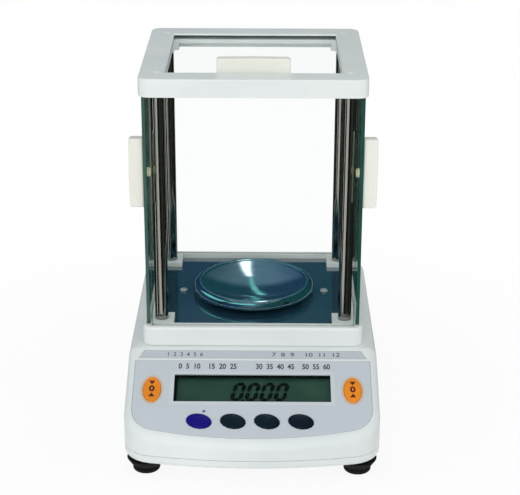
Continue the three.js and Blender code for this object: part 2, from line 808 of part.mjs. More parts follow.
function makeFeet() {
  const y = frontY + wheelY;
  const rim = Array.from({ length: 2 * wheelFlutes }, (_, step) => {
    const angle = (Math.PI * step) / wheelFlutes;
    const radius = wheelRadius - (step % 2) * wheelFluteDepth;
    return new THREE.Vector2(radius * Math.cos(angle), radius * Math.sin(angle));
  });
  for (const [side, x] of wheelPlaces) {
    const wheel = softPrism(new THREE.Shape(rim), 0, wheelHeight, keyBevel, 1);
    const place = wheel.attributes.position;
    for (let vertex = 0; vertex < place.count; vertex += 1) {
      const share = 1 - (wheelTaper / wheelRadius) * (1 - place.getZ(vertex) / wheelHeight);
      place.setXY(vertex, place.getX(vertex) * share, place.getY(vertex) * share);
    }
    const stem = disc(stemRadius, 0, 0, wheelHeight - overlap, stemTop - wheelBottom, smallSides);
    const socket = disc(soleHubRadius + clearance, 0, 0, -overrun, soleHubRise);
    const solid = cut(join(wheel, stem), socket);
    add(`foot_wheel_${side}`, solid, blackPlastic).position.set(x, y, wheelBottom);
    const soleTop = wheelBottom - clearance;
    const sole = turned([
      [0, 0],
      [soleRadius - soleChamfer, 0],
      [soleRadius, soleChamfer],
      [soleRadius, soleTop],
      [soleHubRadius, soleTop],
      [soleHubRadius, wheelBottom + soleHubRise - clearance],
      [0, wheelBottom + soleHubRise - clearance],
    ]);
    add(`foot_sole_${side}`, sole, blackRubber).position.set(x, y, 0);
    const padTop = caseUnderside - clearance;
    const rearFoot = turned([
      [0, 0],
      [rearFootRadius - rearFootTaper, 0],
      [rearFootRadius, rearFootTaper],
      [rearFootRadius, padTop],
      [rearPlugRadius, padTop],
      [rearPlugRadius, padTop + rearPlugLength],
      [0, padTop + rearPlugLength],
    ]);
    const pad = add(`rear_foot_${side}`, rearFoot, blackRubber);
    pad.position.set(Math.sign(x) * rearFootX, rearY - rearFootY, 0);
  }
}

function makeCaseScrews() {
  for (const [place, x, y] of caseScrewPlaces) {
    const screw = screwSolid(caseScrewHead, caseScrewHeadHeight, caseScrewShank, caseScrewLength);
    const mesh = add(`case_screw_${place}`, screw.rotateX(Math.PI), steel);
    mesh.position.set(x, y, caseUnderside + counterboreDepth - clearance);
  }
}

// Control panel: film, label strip, window, display, its board and the keys
function makePanel() {
  const keyCuts = keys.map((key) => keySolid(key, keyGap, recessFloor - overrun, overrun));
  const windowGrow = windowBorder + clearance;
  const windowCut = panelBlock(windowHalfWidth + windowGrow, windowStart - windowGrow,
    windowLength + 2 * windowGrow, recessFloor - overrun, overrun);
  const ledCut = atLamp(disc(ledRadius + clearance, 0, 0, -overrun, overrun, smallSides));
  const film = overlayPlate(overlayInset + clearance, overlayStart + clearance, -overlayThickness, 0);
  add("keypad_overlay", cut(film, ...keyCuts, windowCut, ledCut), overlayFilm);
  add("label_strip", stripPlate(0, -overlayThickness, 0), stripFilm);
  add("display_window", panelBlock(windowHalfWidth + windowBorder, windowStart - windowBorder,
    windowLength + 2 * windowBorder, -overlayThickness, 0), clearGlass);

  const lcdHalf = windowHalfWidth + lcdOverlap;
  const lcdStart = windowStart - lcdOverlap;
  const lcdLength = windowLength + 2 * lcdOverlap;
  const lcd = panelBlock(lcdHalf, lcdStart, lcdLength, boardTop + clearance, -lcdDepth);
  const view = panelBlock(lcdHalf - lcdBezel, lcdStart + lcdBezel, lcdLength - 2 * lcdBezel,
    -lcdDepth - lcdRecess, overrun);
  add("lcd_module", cut(lcd, view), displayGreen);

  const board = common(
    prism(caseOutline(caseSkin + 2 * clearance), 0, deckHeight),
    panelBlock(boardHalfWidth, boardStart, boardLength, boardTop - boardThickness, boardTop),
  );
  const switches = keys.map((key) => onPanel(
    block(-switchSize / 2, switchSize / 2, -switchSize / 2, switchSize / 2, boardTop - overlap,
      boardTop + switchHeight),
    key.across, key.down,
  ));
  add("display_board", join(board, ...switches), boardGreen);
  add("power_led", atLamp(disc(ledRadius, 0, 0, boardTop + clearance, -ledSink, smallSides)), paleLamp);

  const flangeTop = -skinDepth - clearance;
  for (const key of keys) {
    const cap = softPrism(ellipse(key.halfX, key.halfY), flangeTop - overlap, keyProud, keyBevel, 1);
    const flange = prism(ellipse(key.halfX + keyFlange, key.halfY + keyFlange),
      flangeTop - keyFlangeThickness, flangeTop);
    const stemEnd = boardTop + switchHeight + keyTravel + clearance;
    const stem = disc(keyStemRadius, 0, 0, stemEnd, flangeTop - keyFlangeThickness / 2, smallSides);
    const solid = join(cap, flange, stem).rotateZ(key.tilt);
    add(key.name, onPanel(solid, key.across, key.down), key.look);
  }
}

// Load cell with its two overlapping bores, between the cast base and the pan's bracket
function makeWeighing() {
  const baseBottom = caseUnderside + plinthHeight + clearance;
  const baseTop = baseBottom + baseThickness;
  const plate = prism(roundedRectangle(baseWidth / 2, baseLength / 2, baseCornerRadius), baseBottom, baseTop);
  const pocketHalfX = baseWidth / 2 - basePocketWall;
  const pocketRear = baseLength / 2 - basePocketWall - spacerLength;
  const pocketFront = -baseLength / 2 + basePocketWall;
  const pocketCut = block(-pocketHalfX, pocketHalfX, pocketFront, pocketRear - basePocketWall,
    baseTop - basePocketDepth, baseTop + overrun);
  add("base_plate", cut(plate, pocketCut), aluminium).position.set(0, basePlateY, 0);

  const cellRear = shieldY + cellOverhang;
  const cellFront = cellRear - cellLength;
  const spacerBottom = baseTop + clearance;
  const spacerTop = spacerBottom + spacerHeight;
  add("load_cell_spacer", block(-cellWidth / 2, cellWidth / 2, cellRear - spacerLength, cellRear,
    spacerBottom, spacerTop), aluminium);

  const cellBottom = spacerTop + clearance;
  const cellTop = cellBottom + cellHeight;
  const side = rectangle(cellLength / 2, cellHeight / 2);
  const reach = cellBoreSpacing / 2;
  const half = cellSlotHeight / 2;
  const bite = Math.asin(half / cellBoreRadius);
  const bores = new THREE.Path();
  bores.absarc(reach, 0, cellBoreRadius, -Math.PI + bite, Math.PI - bite, false);
  bores.absarc(-reach, 0, cellBoreRadius, bite, 2 * Math.PI - bite, false);
  bores.closePath();
  side.holes.push(bores);
  const cell = prism(side, -cellWidth / 2, cellWidth / 2, arcSteps).rotateX(Math.PI / 2).rotateZ(Math.PI / 2);
  add("load_cell", cell, aluminium).position.set(0, (cellRear + cellFront) / 2, (cellBottom + cellTop) / 2);

  const bracketBottom = cellTop + clearance;
  const bracketTop = bracketBottom + bracketThickness;
  const bracketLength = shieldY + bracketTail - cellFront;
  const bracketY = cellFront + bracketLength / 2;
  const bracket = prism(roundedRectangle(cellWidth / 2, bracketLength / 2, bracketCornerRadius),
    bracketBottom, bracketTop).translate(0, bracketY, 0);
  const hubTop = panBottom - clearance;
  const hub = turned([
    [0, bracketTop - overlap],
    [spindleRadius, bracketTop - overlap],
    [spindleRadius, hubTop - hubHeight],
    [hubRadius - hubBevel, hubTop - hubHeight],
    [hubRadius, hubTop - hubHeight + hubBevel],
    [hubRadius, hubTop],
    [panSpigotRadius + panSpigotWall + clearance, hubTop],
    [panSpigotRadius + panSpigotWall + clearance, hubTop - panSpigotDepth],
    [panSpigotRadius - clearance, hubTop - panSpigotDepth],
    [panSpigotRadius - clearance, hubTop],
    [0, hubTop],
  ]).translate(0, shieldY, 0);
  add("pan_support", join(bracket, hub), aluminium);
}

// Weighing pan: a spun dish with a rolled rim and a spigot ring that drops over the hub
function makePan() {
  const dishTop = panRimTop - panRimRadius;
  const floorLevel = panBottom + panSheet;
  const curveEnd = panRadius - 2 * panRimRadius;
  const inner = [];
  const outer = [];
  for (let step = 0; step <= panSteps; step += 1) {
    const share = Math.sin(step / panSteps * Math.PI / 2); // closer steps on the steep wall
    const radius = panFlatRadius + (curveEnd - panFlatRadius) * share;
    const rise = share ** panCurvePower * (dishTop - floorLevel);
    inner.push([radius, floorLevel + rise]);
    outer.push([radius + share * panSheet / 2, panBottom + rise]);
  }
  const rim = arcPoints(panRadius - panRimRadius, dishTop, panRimRadius, Math.PI, -Math.PI / 2,
    panRimSteps).slice(1);
  const spigotFoot = panBottom - panSpigotDepth + clearance;
  const spigot = [
    [panSpigotRadius + panSpigotWall, panBottom],
    [panSpigotRadius + panSpigotWall, spigotFoot],
    [panSpigotRadius, spigotFoot],
    [panSpigotRadius, panBottom],
  ];
  const underside = outer.slice(1).reverse();
  const profile = [[0, floorLevel], ...inner, ...rim, ...underside, ...spigot, [0, panBottom]];
  const dish = turned(profile.reverse(), panSides);
  add("weighing_pan", dish, steel).position.set(0, shieldY, 0);
}

// Outline of a rectangle whose corners give way to square corner blocks
function notchedRectangle(halfX, halfY, notchX, notchY) {
  const corners = [[1, -1], [1, 1], [-1, 1], [-1, -1]];
  const points = corners.flatMap(([signX, signY]) => {
    const first = new THREE.Vector2(signX * notchX, signY * halfY);
    const middle = new THREE.Vector2(signX * notchX, signY * notchY);
    const last = new THREE.Vector2(signX * halfX, signY * notchY);
    return signX * signY < 0 ? [first, middle, last] : [last, middle, first];
  });
  return new THREE.Shape(points);
}

function makeChamberFloor() {
  const shape = notchedRectangle(rimHalfX - clearance, rimHalfY - clearance, blockX - clearance,
    blockY - clearance);
  const plate = prism(shape, floorBottom, floorTop);
  const holes = [-1, 1].map((side) => disc(floorScrewShank + clearance, side * floorScrewX, 0,
    floorBottom - overrun, floorTop + overrun, smallSides));
  const spindleHole = disc(floorHoleRadius, 0, 0, floorBottom - overrun, floorTop + overrun);
  add("chamber_floor", cut(plate, ...holes, spindleHole), darkSteel).position.set(0, shieldY, 0);
  for (const [name, side] of [["left", -1], ["right", 1]]) {
    const screw = screwSolid(floorScrewHead, floorScrewHeadHeight, floorScrewShank, floorScrewLength);
    add(`floor_screw_${name}`, screw, steel).position.set(side * floorScrewX, shieldY, floorTop + clearance);
  }
}

const postPlaces = [
  ["front_left", -postX, -postOffsetY],
  ["front_right", postX, -postOffsetY],
  ["rear_left", -postX, postOffsetY],
  ["rear_right", postX, postOffsetY],
];

// Grooves that hold the fixed glass and guide the sliding glass, between two heights
function glassGrooves(bottom, top) {
  const paneEnd = paneHalfWidth + clearance;
  const grooves = [-1, 1].map((side) => {
    const near = side * (paneInner - clearance);
    const far = side * (paneOuter + clearance);
    return block(-paneEnd, paneEnd, Math.min(near, far), Math.max(near, far), bottom, top);
  });
  const doorFront = doorFrontY - shieldY - clearance;
  for (const side of [-1, 1]) {
    const near = side * (doorInnerX - clearance);
    const far = side * (doorOuterX + clearance);
    grooves.push(block(Math.min(near, far), Math.max(near, far), doorFront, shieldDepth, bottom, top));
  }
  return grooves;
}

function makeBaseFrame() {
  const outline = roundedRectangle(baseFrameWidth / 2, shieldDepth / 2, frameCornerRadius);
  const rounded = softPrism(outline, baseFrameBottom - overrun, baseFrameTop, frameRounding);
  const halfDepth = shieldDepth / 2 + overrun;
  const frame = cut(rounded, block(-halfCase, halfCase, -halfDepth, halfDepth,
    baseFrameBottom - 2 * overrun, baseFrameBottom));
  const well = prism(notchedRectangle(rimHalfX, rimHalfY, blockX, blockY), ledgeTop, baseFrameTop + overrun);
  const through = prism(rectangle(rimHalfX - ledgeDepthX, rimHalfY - ledgeDepthY),
    baseFrameBottom - overrun, baseFrameTop);
  const sockets = postPlaces.map(([, x, y]) => {
    return disc(postRadius + clearance, x, y, baseFrameTop - postSocketDepth, baseFrameTop + overrun);
  });
  const screwHoles = [-1, 1].map((side) => disc(floorScrewShank + clearance, side * floorScrewX, 0,
    baseFrameBottom + overlap, baseFrameTop, smallSides));
  const grooves = glassGrooves(baseFrameTop - grooveDepth, baseFrameTop + overrun);
  const solid = cut(frame, well, through, ...sockets, ...screwHoles, ...grooves);
  add("shield_base_frame", solid, casePlastic).position.set(0, shieldY, 0);
}

function makeTopFrame() {
  const outline = roundedRectangle(topFrameWidth / 2, shieldDepth / 2, frameCornerRadius);
  outline.holes.push(rectangle(openingHalfX, openingHalfY, new THREE.Path()));
  const rounded = softPrism(outline, topFrameBottom - overrun, topFrameTop, frameRounding / 2);
  const halfDepth = shieldDepth / 2 + overrun;
  const frame = cut(rounded, block(-halfCase, halfCase, -halfDepth, halfDepth,
    topFrameBottom - 2 * overrun, topFrameBottom));
  const stepOutline = notchedRectangle(topFrameWidth / 2 - skirtWidth, shieldDepth / 2 - skirtWidth, blockX,
    blockY);
  const step = prism(stepOutline, topFrameBottom - overrun, topFrameTop - topInnerWall);
  const socketTop = lidBottom - 2 * lidCover;
  const sockets = postPlaces.flatMap(([, x, y]) => [
    disc(postRadius + clearance, x, y, topFrameBottom - overrun, socketTop),
    disc(postScrewShank + clearance, x, y, topFrameBottom, topFrameTop + overrun, smallSides),
    disc(postScrewHead + clearance, x, y, topFrameTop - postScrewHeadHeight - postScrewSink - clearance,
      topFrameTop + overrun, smallSides),
  ]);
  const slotHalf = openingHalfX + lidSlotDepth;
  const lidSlot = block(-slotHalf, slotHalf, -openingHalfY - lidFrontDepth, shieldDepth,
    lidBottom - clearance, lidTop + clearance);
  const grooves = glassGrooves(topFrameBottom - overrun, topFrameBottom + topGrooveDepth);
  const solid = cut(frame, step, lidSlot, ...sockets, ...grooves);
  add("shield_top_frame", solid, casePlastic).position.set(0, shieldY, 0);
}

// Stainless posts with tapped ends, and the screws that hold the top frame on them
function makePosts() {
  const bottom = baseFrameTop - postSocketDepth + clearance;
  const top = lidBottom - 2 * lidCover - clearance;
  for (const [place, x, y] of postPlaces) {
    const bore = postScrewShank + clearance;
    const tapped = cut(
      disc(postRadius, 0, 0, bottom, top),
      disc(bore, 0, 0, top - postThreadDepth, top + overrun, smallSides),
      disc(bore, 0, 0, bottom - overrun, bottom + postThreadDepth, smallSides),
    );
    add(`post_${place}`, tapped, steel).position.set(x, shieldY + y, 0);
    const seat = topFrameTop - postScrewHeadHeight - postScrewSink;
    const screw = screwSolid(postScrewHead, postScrewHeadHeight, postScrewShank, postThreadDepth);
    add(`post_screw_${place}`, screw, steel).position.set(x, shieldY + y, seat);
  }
}

// A grip drawn as a crowned plate standing on the glass, with the stud that passes through it
function gripSolid(reach) {
  const half = gripLength / 2;
  const round = gripCornerRadius;
  const shoulder = reach - gripCrown;
  const shape = new THREE.Shape();
  shape.moveTo(-half, clearance);
  shape.lineTo(half, clearance);
  shape.lineTo(half, shoulder - round);
  shape.absarc(half - round, shoulder - round, round, 0, Math.PI / 2, false);
  shape.quadraticCurveTo(0, reach + gripCrown, -half + round, shoulder);
  shape.absarc(-half + round, shoulder - round, round, Math.PI / 2, Math.PI, false);
  shape.closePath();
  const plate = softPrism(shape, -gripThickness / 2, gripThickness / 2, gripBevel);
  const tip = glassThickness + nutBoreDepth - clearance;
  const stud = disc(studRadius, 0, 0, -tip, gripBevel + overlap, smallSides);
  return join(plate.rotateX(Math.PI / 2), stud);
}

function nutSolid() {
  return turned([
    [0, 0],
    [nutRadius - gripBevel, 0],
    [nutRadius, gripBevel],
    [nutRadius, nutHeight],
    [studRadius + clearance, nutHeight],
    [studRadius + clearance, nutHeight - nutBoreDepth],
    [0, nutHeight - nutBoreDepth],
  ], smallSides);
}

function makeGlass() {
  const bottom = baseFrameTop - grooveDepth + clearance;
  const top = topFrameBottom + topGrooveDepth - clearance;
  for (const [name, side] of [["front_glass", -1], ["rear_glass", 1]]) {
    const near = shieldY + side * paneInner;
    const far = shieldY + side * paneOuter;
    add(name, block(-paneHalfWidth, paneHalfWidth, Math.min(near, far), Math.max(near, far), bottom, top),
      clearGlass);
  }
  const gripY = doorFrontY + gripInset;
  const gripZ = baseFrameTop + sideGripHeight;
  for (const [name, side] of [["left", -1], ["right", 1]]) {
    const near = side * doorInnerX;
    const far = side * doorOuterX;
    const pane = block(Math.min(near, far), Math.max(near, far), doorFrontY, shieldRear, bottom, top);
    const hole = disc(studRadius + clearance, 0, 0, -overrun, overrun, smallSides).rotateY(Math.PI / 2);
    add(`${name}_door_glass`, cut(pane, hole.translate(side * doorOuterX, gripY, gripZ)), clearGlass);
    const sideways = (side * Math.PI) / 2;
    const grip = add(`${name}_door_grip`, gripSolid(gripReach).rotateY(sideways), creamPlastic);
    grip.position.set(far, gripY, gripZ);
    const nutX = near - side * (nutHeight + clearance);
    add(`${name}_grip_nut`, nutSolid().rotateY(sideways), creamPlastic).position.set(nutX, gripY, gripZ);
  }
  const lidGripY = shieldY - openingHalfY + gripFrontGap + gripThickness / 2;
  const lidHalf = openingHalfX + lidSlotDepth - clearance;
  const lidFront = shieldY - openingHalfY - lidFrontDepth + clearance;
  const lid = block(-lidHalf, lidHalf, lidFront, shieldRear, lidBottom, lidTop);
  const lidHole = disc(studRadius + clearance, 0, lidGripY, lidBottom - overrun, lidTop + overrun,
    smallSides);
  add("top_door_glass", cut(lid, lidHole), clearGlass);
  add("top_door_grip", gripSolid(lidGripReach), creamPlastic).position.set(0, lidGripY, lidTop);
  add("top_grip_nut", nutSolid(), creamPlastic).position.set(0, lidGripY, lidBottom - nutHeight - clearance);
}

// Sockets in the rear wall: a round power socket and a nine-pin data socket
function makeRearSockets() {
  const face = clearance + jackFlangeThickness;
  const jack = turned([
    [0, -jackLength],
    [jackRadius, -jackLength],
    [jackRadius, clearance],
    [jackFlangeRadius, clearance],
    [jackFlangeRadius, face],
    [jackBoreRadius, face],
    [jackBoreRadius, face - jackBoreDepth],
    [jackPinRadius, face - jackBoreDepth],
    [jackPinRadius, 0],
    [0, 0],
  ], smallSides);
  add("power_jack", onRearWall(jack, jackX), blackPlastic);

  const flange = prism(roundedRectangle(portFlangeWidth / 2, portFlangeHeight / 2, portFlangeThickness),
    clearance, clearance + portFlangeThickness);
  const body = prism(portShape(0), -pocketWall - portBodyLength, portShellReach);
  const mouth = prism(portShape(-portShellWall), clearance, portShellReach + overrun);
  const pinRows = [[5, portPinRow], [4, -portPinRow]];
  const pins = pinRows.flatMap(([count, row]) => Array.from({ length: count }, (_, step) => {
    const x = (step - (count - 1) / 2) * portPinPitch;
    return disc(portPinRadius, x, row, 0, portPinReach, pinSides);
  }));
  add("serial_port", onRearWall(join(cut(join(flange, body), mouth), ...pins), portX), steel);
}

function makeVial() {
  const top = vialFlangeHeight + clearance;
  const vial = turned([
    [0, -vialBodyHeight],
    [vialRadius, -vialBodyHeight],
    [vialRadius, clearance],
    [vialFlangeRadius, clearance],
    [vialFlangeRadius, top - vialDish],
    [vialFlangeRadius - vialDish, top],
    [vialRadius - vialDish, top],
    [vialRadius - 2 * vialDish, top - vialDish],
    [0, top - vialDish / 2],
  ]);
  add("level_vial", vial, vialFluid).position.set(vialX, rearY - vialInset, deckHeight);
}

// Main board on its standoffs, with its larger components; places are shares of the board
function makeMainBoard() {
  const bottom = caseUnderside + standoffHeight + clearance;
  const top = bottom + boardThickness;
  const board = block(-mainBoardWidth / 2, mainBoardWidth / 2, -mainBoardLength / 2, mainBoardLength / 2,
    bottom, top);
  const blockShares = [
    [-0.1, 0.05, 0.3, 0.12, chipHeight],
    [0.2, -0.22, 0.2, 0.1, chipHeight],
    [-0.22, -0.3, 0.16, 0.06, chipHeight],
    [-0.3, 0.42, 0.3, 0.06, plugBlockHeight],
    [0.22, 0.42, 0.3, 0.06, plugBlockHeight],
    [0.34, 0.08, 0.12, 0.16, plugBlockHeight],
  ];
  const blocks = blockShares.map(([x, y, wide, long, height]) => block(
    (x - wide / 2) * mainBoardWidth, (x + wide / 2) * mainBoardWidth,
    (y - long / 2) * mainBoardLength, (y + long / 2) * mainBoardLength,
    top - overlap, top + height,
  ));
  const canShares = [[-0.3, 0.24], [0.02, 0.26], [0.3, 0.26]];
  const cans = canShares.map(([x, y]) => {
    return disc(standoffRadius, x * mainBoardWidth, y * mainBoardLength, top - overlap, top + plugBlockHeight,
      smallSides);
  });
  add("main_board", join(board, ...blocks, ...cans), boardGreen).position.set(mainBoardX, mainBoardY, 0);
}

add("lower_case", makeLowerCase(), casePlastic);
add("upper_case", makeUpperCase(), casePlastic);
makeCaseScrews();
makeFeet();
makePanel();
makeMainBoard();
makeRearSockets();
makeVial();
makeWeighing();
makePan();
makeChamberFloor();
makeBaseFrame();
makePosts();
makeTopFrame();
makeGlass();

export default group;
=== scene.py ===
import json
import math

import bmesh
import bpy
from mathutils import Matrix, Vector

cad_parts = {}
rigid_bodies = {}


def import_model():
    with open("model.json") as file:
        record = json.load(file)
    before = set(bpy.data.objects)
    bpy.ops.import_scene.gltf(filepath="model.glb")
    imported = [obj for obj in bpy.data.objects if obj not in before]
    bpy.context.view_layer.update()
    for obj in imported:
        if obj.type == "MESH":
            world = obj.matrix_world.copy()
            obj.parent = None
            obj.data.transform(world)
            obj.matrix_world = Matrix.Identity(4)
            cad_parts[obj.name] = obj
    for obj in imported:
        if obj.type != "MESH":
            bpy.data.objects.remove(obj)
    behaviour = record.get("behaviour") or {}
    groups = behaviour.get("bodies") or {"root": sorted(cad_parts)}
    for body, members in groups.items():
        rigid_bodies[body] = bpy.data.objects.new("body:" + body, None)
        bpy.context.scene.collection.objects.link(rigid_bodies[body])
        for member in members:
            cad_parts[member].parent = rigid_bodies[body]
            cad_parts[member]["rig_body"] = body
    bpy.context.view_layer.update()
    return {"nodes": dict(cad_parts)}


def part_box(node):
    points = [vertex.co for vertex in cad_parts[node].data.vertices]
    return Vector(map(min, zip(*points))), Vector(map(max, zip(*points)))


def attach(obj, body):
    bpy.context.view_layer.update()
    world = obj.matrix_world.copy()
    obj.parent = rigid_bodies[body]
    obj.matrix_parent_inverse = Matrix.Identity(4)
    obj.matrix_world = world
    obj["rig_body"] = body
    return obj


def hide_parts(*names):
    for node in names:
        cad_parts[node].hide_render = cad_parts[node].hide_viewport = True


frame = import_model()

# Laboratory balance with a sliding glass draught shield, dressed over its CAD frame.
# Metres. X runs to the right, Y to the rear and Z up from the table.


# Camera: it looks down on the front of the balance from about 1.3 m away.
# Its place, its turn and its lens were fitted to the corners of the frame and the pan.
camera_place = Vector((0.0113, -1.2553, 0.6578))
camera_down, camera_aside, camera_roll = (math.radians(angle) for angle in (21.78, 0.25, 0.2))
camera_lens = 103.45
camera_sensor = 36
camera_reach = 50

camera = bpy.data.objects.new("camera", bpy.data.cameras.new("camera"))
camera.data.lens = camera_lens
camera.data.sensor_fit = "HORIZONTAL"
camera.data.sensor_width = camera_sensor
camera.data.clip_end = camera_reach
turn = Matrix.Rotation(camera_aside, 3, "Z") @ Matrix.Rotation(math.pi / 2 - camera_down, 3, "X")
turn = turn @ Matrix.Rotation(camera_roll, 3, "Z")
camera.matrix_world = Matrix.Translation(camera_place) @ turn.to_4x4()
scene = bpy.context.scene
scene.collection.objects.link(camera)
scene.camera = camera
scene.view_settings.view_transform = "Standard"


# Studio: a wide white table top, a white room and soft lamps. Dark screens and bright cards that
# only polished metal sees stand round the balance, as a photographer sets up round chrome.
room_light = 0.69
table_half = 4
table_white = (0.95, 0.95, 0.95)
table_near, table_far = 0.18, 0.5
table_shading_near, table_shading_far = 0.10, 0.02
lamps = [
    ("front_lamp", (-0.5, -3.2, 1.3), 1.8, 30.0),
    ("left_lamp", (-2.6, -0.9, 2.0), 1.6, 7.0),
    ("right_lamp", (2.4, -1.4, 2.0), 1.6, 10.0),
]
lamp_aim = Vector((0, 0, 0.14))
chamber_y = 0.04
tent_radius = 1.6
tent_foot = 0.1
tent_turns = range(0, 361, 10)
tent_climbs = (-3.4, *range(0, 91, 9))
tent_change = 0.5
tent_high_from, tent_high_to = 0.72, 1.0
tent_aside_from, tent_aside_to = 0.6, 0.1
tent_low_left, tent_low_right = (0.025, 0.065, 0.135), (0.018, 0.085, 0.095)
tent_high_left, tent_high_right = (0.19, 0.29, 0.39), (0.13, 0.21, 0.24)
low_screen_near, low_screen_far, low_screen_height = 0.21, 2.4, 0.004
low_screen_arcs = [(-94, 62), (70, 196), (206, 228)]
low_screen_steps = 12
low_screen_streaks = 3.2
low_screen_dark = (0.010, 0.010, 0.009)
low_screen_grey = (0.16, 0.165, 0.14)
card_gap = 0.05
cards = [
    ("wedge_card", (1.0, 1.0, 1.0), 2.8, [
        ((68, 70), (86, 70)), ((76, 61), (87.4, 61)), ((83, 51), (88.4, 51)), ((87.4, 42), (89.6, 42))]),
    ("streak_card", (0.35, 0.95, 0.88), 1.0, [
        ((88.2, 44), (89.8, 42)), ((89.3, 33), (90.3, 33)), ((90.2, 23), (91.1, 23)),
        ((91.4, 8), (92.3, 8))]),
    ("lip_card", (0.34, 0.92, 0.80), 1.0, [
        ((140, 22), (144, 44)), ((168, 28), (172, 50)), ((192, 36), (196, 60)), ((215, 42), (219, 66)),
        ((240, 45), (243, 70)), ((272, 47), (276, 72))]),
]


def sums(operation):
    """A sum of two values, and the same sum the other way round."""
    return (lambda self, other: self.tree.maths(operation, self, other),
            lambda self, other: self.tree.maths(operation, other, self))


class Signal:
    """A value inside a tree of nodes, with the sums that are done on it."""
    __add__, __radd__ = sums("ADD")
    __sub__, __rsub__ = sums("SUBTRACT")
    __mul__, __rmul__ = sums("MULTIPLY")
    __pow__, __rpow__ = sums("POWER")

    def __init__(self, tree, socket):
        self.tree, self.socket = tree, socket


class Tree:
    """A tree of nodes that is being built; every node in it is made by node()."""

    def __init__(self, kept):
        self.kept, self.nodes = kept, kept.nodes

    def node(self, kind, sockets=None, output=0, **settings):
        made = self.nodes.new(kind)
        for setting, value in settings.items():
            setattr(made, setting, value)
        for socket, value in (sockets or {}).items():
            for each in value if isinstance(value, list) else [value]:
                self.feed(made.inputs[socket], each)
        if isinstance(output, tuple):
            return [Signal(self, made.outputs[each]) for each in output]
        return Signal(self, made.outputs[output])

    def feed(self, socket, value):
        if isinstance(value, Signal):
            self.kept.links.new(value.socket, socket)
        elif socket.type == "RGBA":
            socket.default_value = (*value, 1)
        else:
            socket.default_value = value

    def maths(self, operation, *values):
        return self.node("ShaderNodeMath", dict(enumerate(values)), operation=operation)


class Finish(Tree):
    """A material that is being mixed from its surface and the patterns on it."""

    def __init__(self, name, **surface):
        self.material = bpy.data.materials.new(name)
        self.material.use_nodes = True
        super().__init__(self.material.node_tree)
        self.surface = self.nodes["Principled BSDF"]
        self.set(**surface)

    def set(self, **surface):
        for name, value in surface.items():
            self.feed(self.surface.inputs[name.replace("_", " ").title().replace("Ior", "IOR")], value)

    def place(self, centre=(0, 0, 0), stretch=(1, 1, 1)):
        """The point being shaded, in metres from a centre on the piece."""
        here = self.node("ShaderNodeTexCoord", output="Object")
        moved = self.node("ShaderNodeVectorMath", {0: here, 1: centre}, operation="SUBTRACT")
        return self.node("ShaderNodeMapping", {"Vector": moved, "Scale": stretch})

    def noise(self, place, scale, detail=2):
        """Soft noise, with about as many features in a metre as its scale says."""
        return self.node("ShaderNodeTexNoise", {"Vector": place, "Scale": scale, "Detail": detail})

    def blend(self, share, low, high):
        return self.node("ShaderNodeMix", {0: share, 6: low, 7: high}, 2, data_type="RGBA")

    def between(self, value, low, high, to_low=0.0, to_high=1.0):
        """A value's place between two others, with soft ends."""
        sockets = {"Value": value, "From Min": low, "From Max": high, "To Min": to_low, "To Max": to_high}
        return self.node("ShaderNodeMapRange", sockets, interpolation_type="SMOOTHSTEP")

    def axes(self, place):
        return self.node("ShaderNodeSeparateXYZ", {0: place}, ("X", "Y", "Z"))

    def length(self, place):
        return self.node("ShaderNodeVectorMath", {0: place}, 1, operation="LENGTH")

    def emboss(self, height, depth):
        """Raises the surface by up to depth metres where height is 1."""
        self.set(normal=self.node("ShaderNodeBump", {"Height": height, "Distance": depth}))

    def mixed(self, share, first=None, second=None):
        """Ends the material in two shaders; its own surface is the one that isn't given."""
        plain = Signal(self, self.surface.outputs[0])
        mix = self.node("ShaderNodeMixShader", {0: share, 1: first or plain, 2: second or plain})
        self.feed(self.nodes["Material Output"].inputs["Surface"], mix)


def seen_directly(tree):
    """1 for rays that show the surroundings: to the eye, in a gloss or through glass."""
    to_eye, in_gloss, through = tree.node(
        "ShaderNodeLightPath", output=("Is Camera Ray", "Is Glossy Ray", "Is Transmission Ray"))
    return tree.maths("MAXIMUM", tree.maths("MAXIMUM", to_eye, in_gloss), through)


def piece(name, mesh, *materials):
    """A new object in the scene, at the origin, with its place in its mesh.

    With materials, all of its faces start on the first one.
    """
    if materials:
        mesh.materials.clear()
    for material in materials:
        mesh.materials.append(material)
    made = bpy.data.objects.new(name, mesh)
    scene.collection.objects.link(made)
    return made


def on_dome(turn, climb, radius):
    """A point on a dome over the middle of the pan, from two angles in degrees."""
    turn, climb = math.radians(turn), math.radians(climb)
    flat = radius * math.cos(climb)
    return (flat * math.cos(turn), chamber_y + flat * math.sin(turn), tent_foot + radius * math.sin(climb))


def screen_finish(name):
    """A screen's cloth: it shows only the colour that it glows in."""
    return Finish(name, base_color=(0, 0, 0), roughness=1.0, specular_ior_level=0.0, emission_strength=1.0)


def sheet(name, rows, finish, seen=False):
    """A sheet through rows of points. Only polished metal sees it, or all do."""
    wide = len(rows[0])
    mesh = bpy.data.meshes.new(name)
    mesh.from_pydata([point for row in rows for point in row], [], [
        (start, start + 1, start + wide + 1, start + wide)
        for row in range(len(rows) - 1) for start in range(row * wide, row * wide + wide - 1)])
    made = piece(name, mesh, finish.material)
    made.visible_camera = made.visible_diffuse = seen
    made.visible_transmission = made.visible_shadow = seen


table_finish = Finish("table_white", base_color=table_white, roughness=0.9)
table_glow = table_finish.node("ShaderNodeEmission", {"Color": (1, 1, 1), "Strength": 1.0})
table_lit = table_finish.between(
    table_finish.length(table_finish.place()), table_near, table_far, 1 - table_shading_near,
    1 - table_shading_far)
table_finish.mixed(seen_directly(table_finish) * table_lit, second=table_glow)
table_rows = [[(x, y, 0) for x in (-table_half, table_half)] for y in (-table_half, table_half)]
sheet("table", table_rows, table_finish, seen=True)

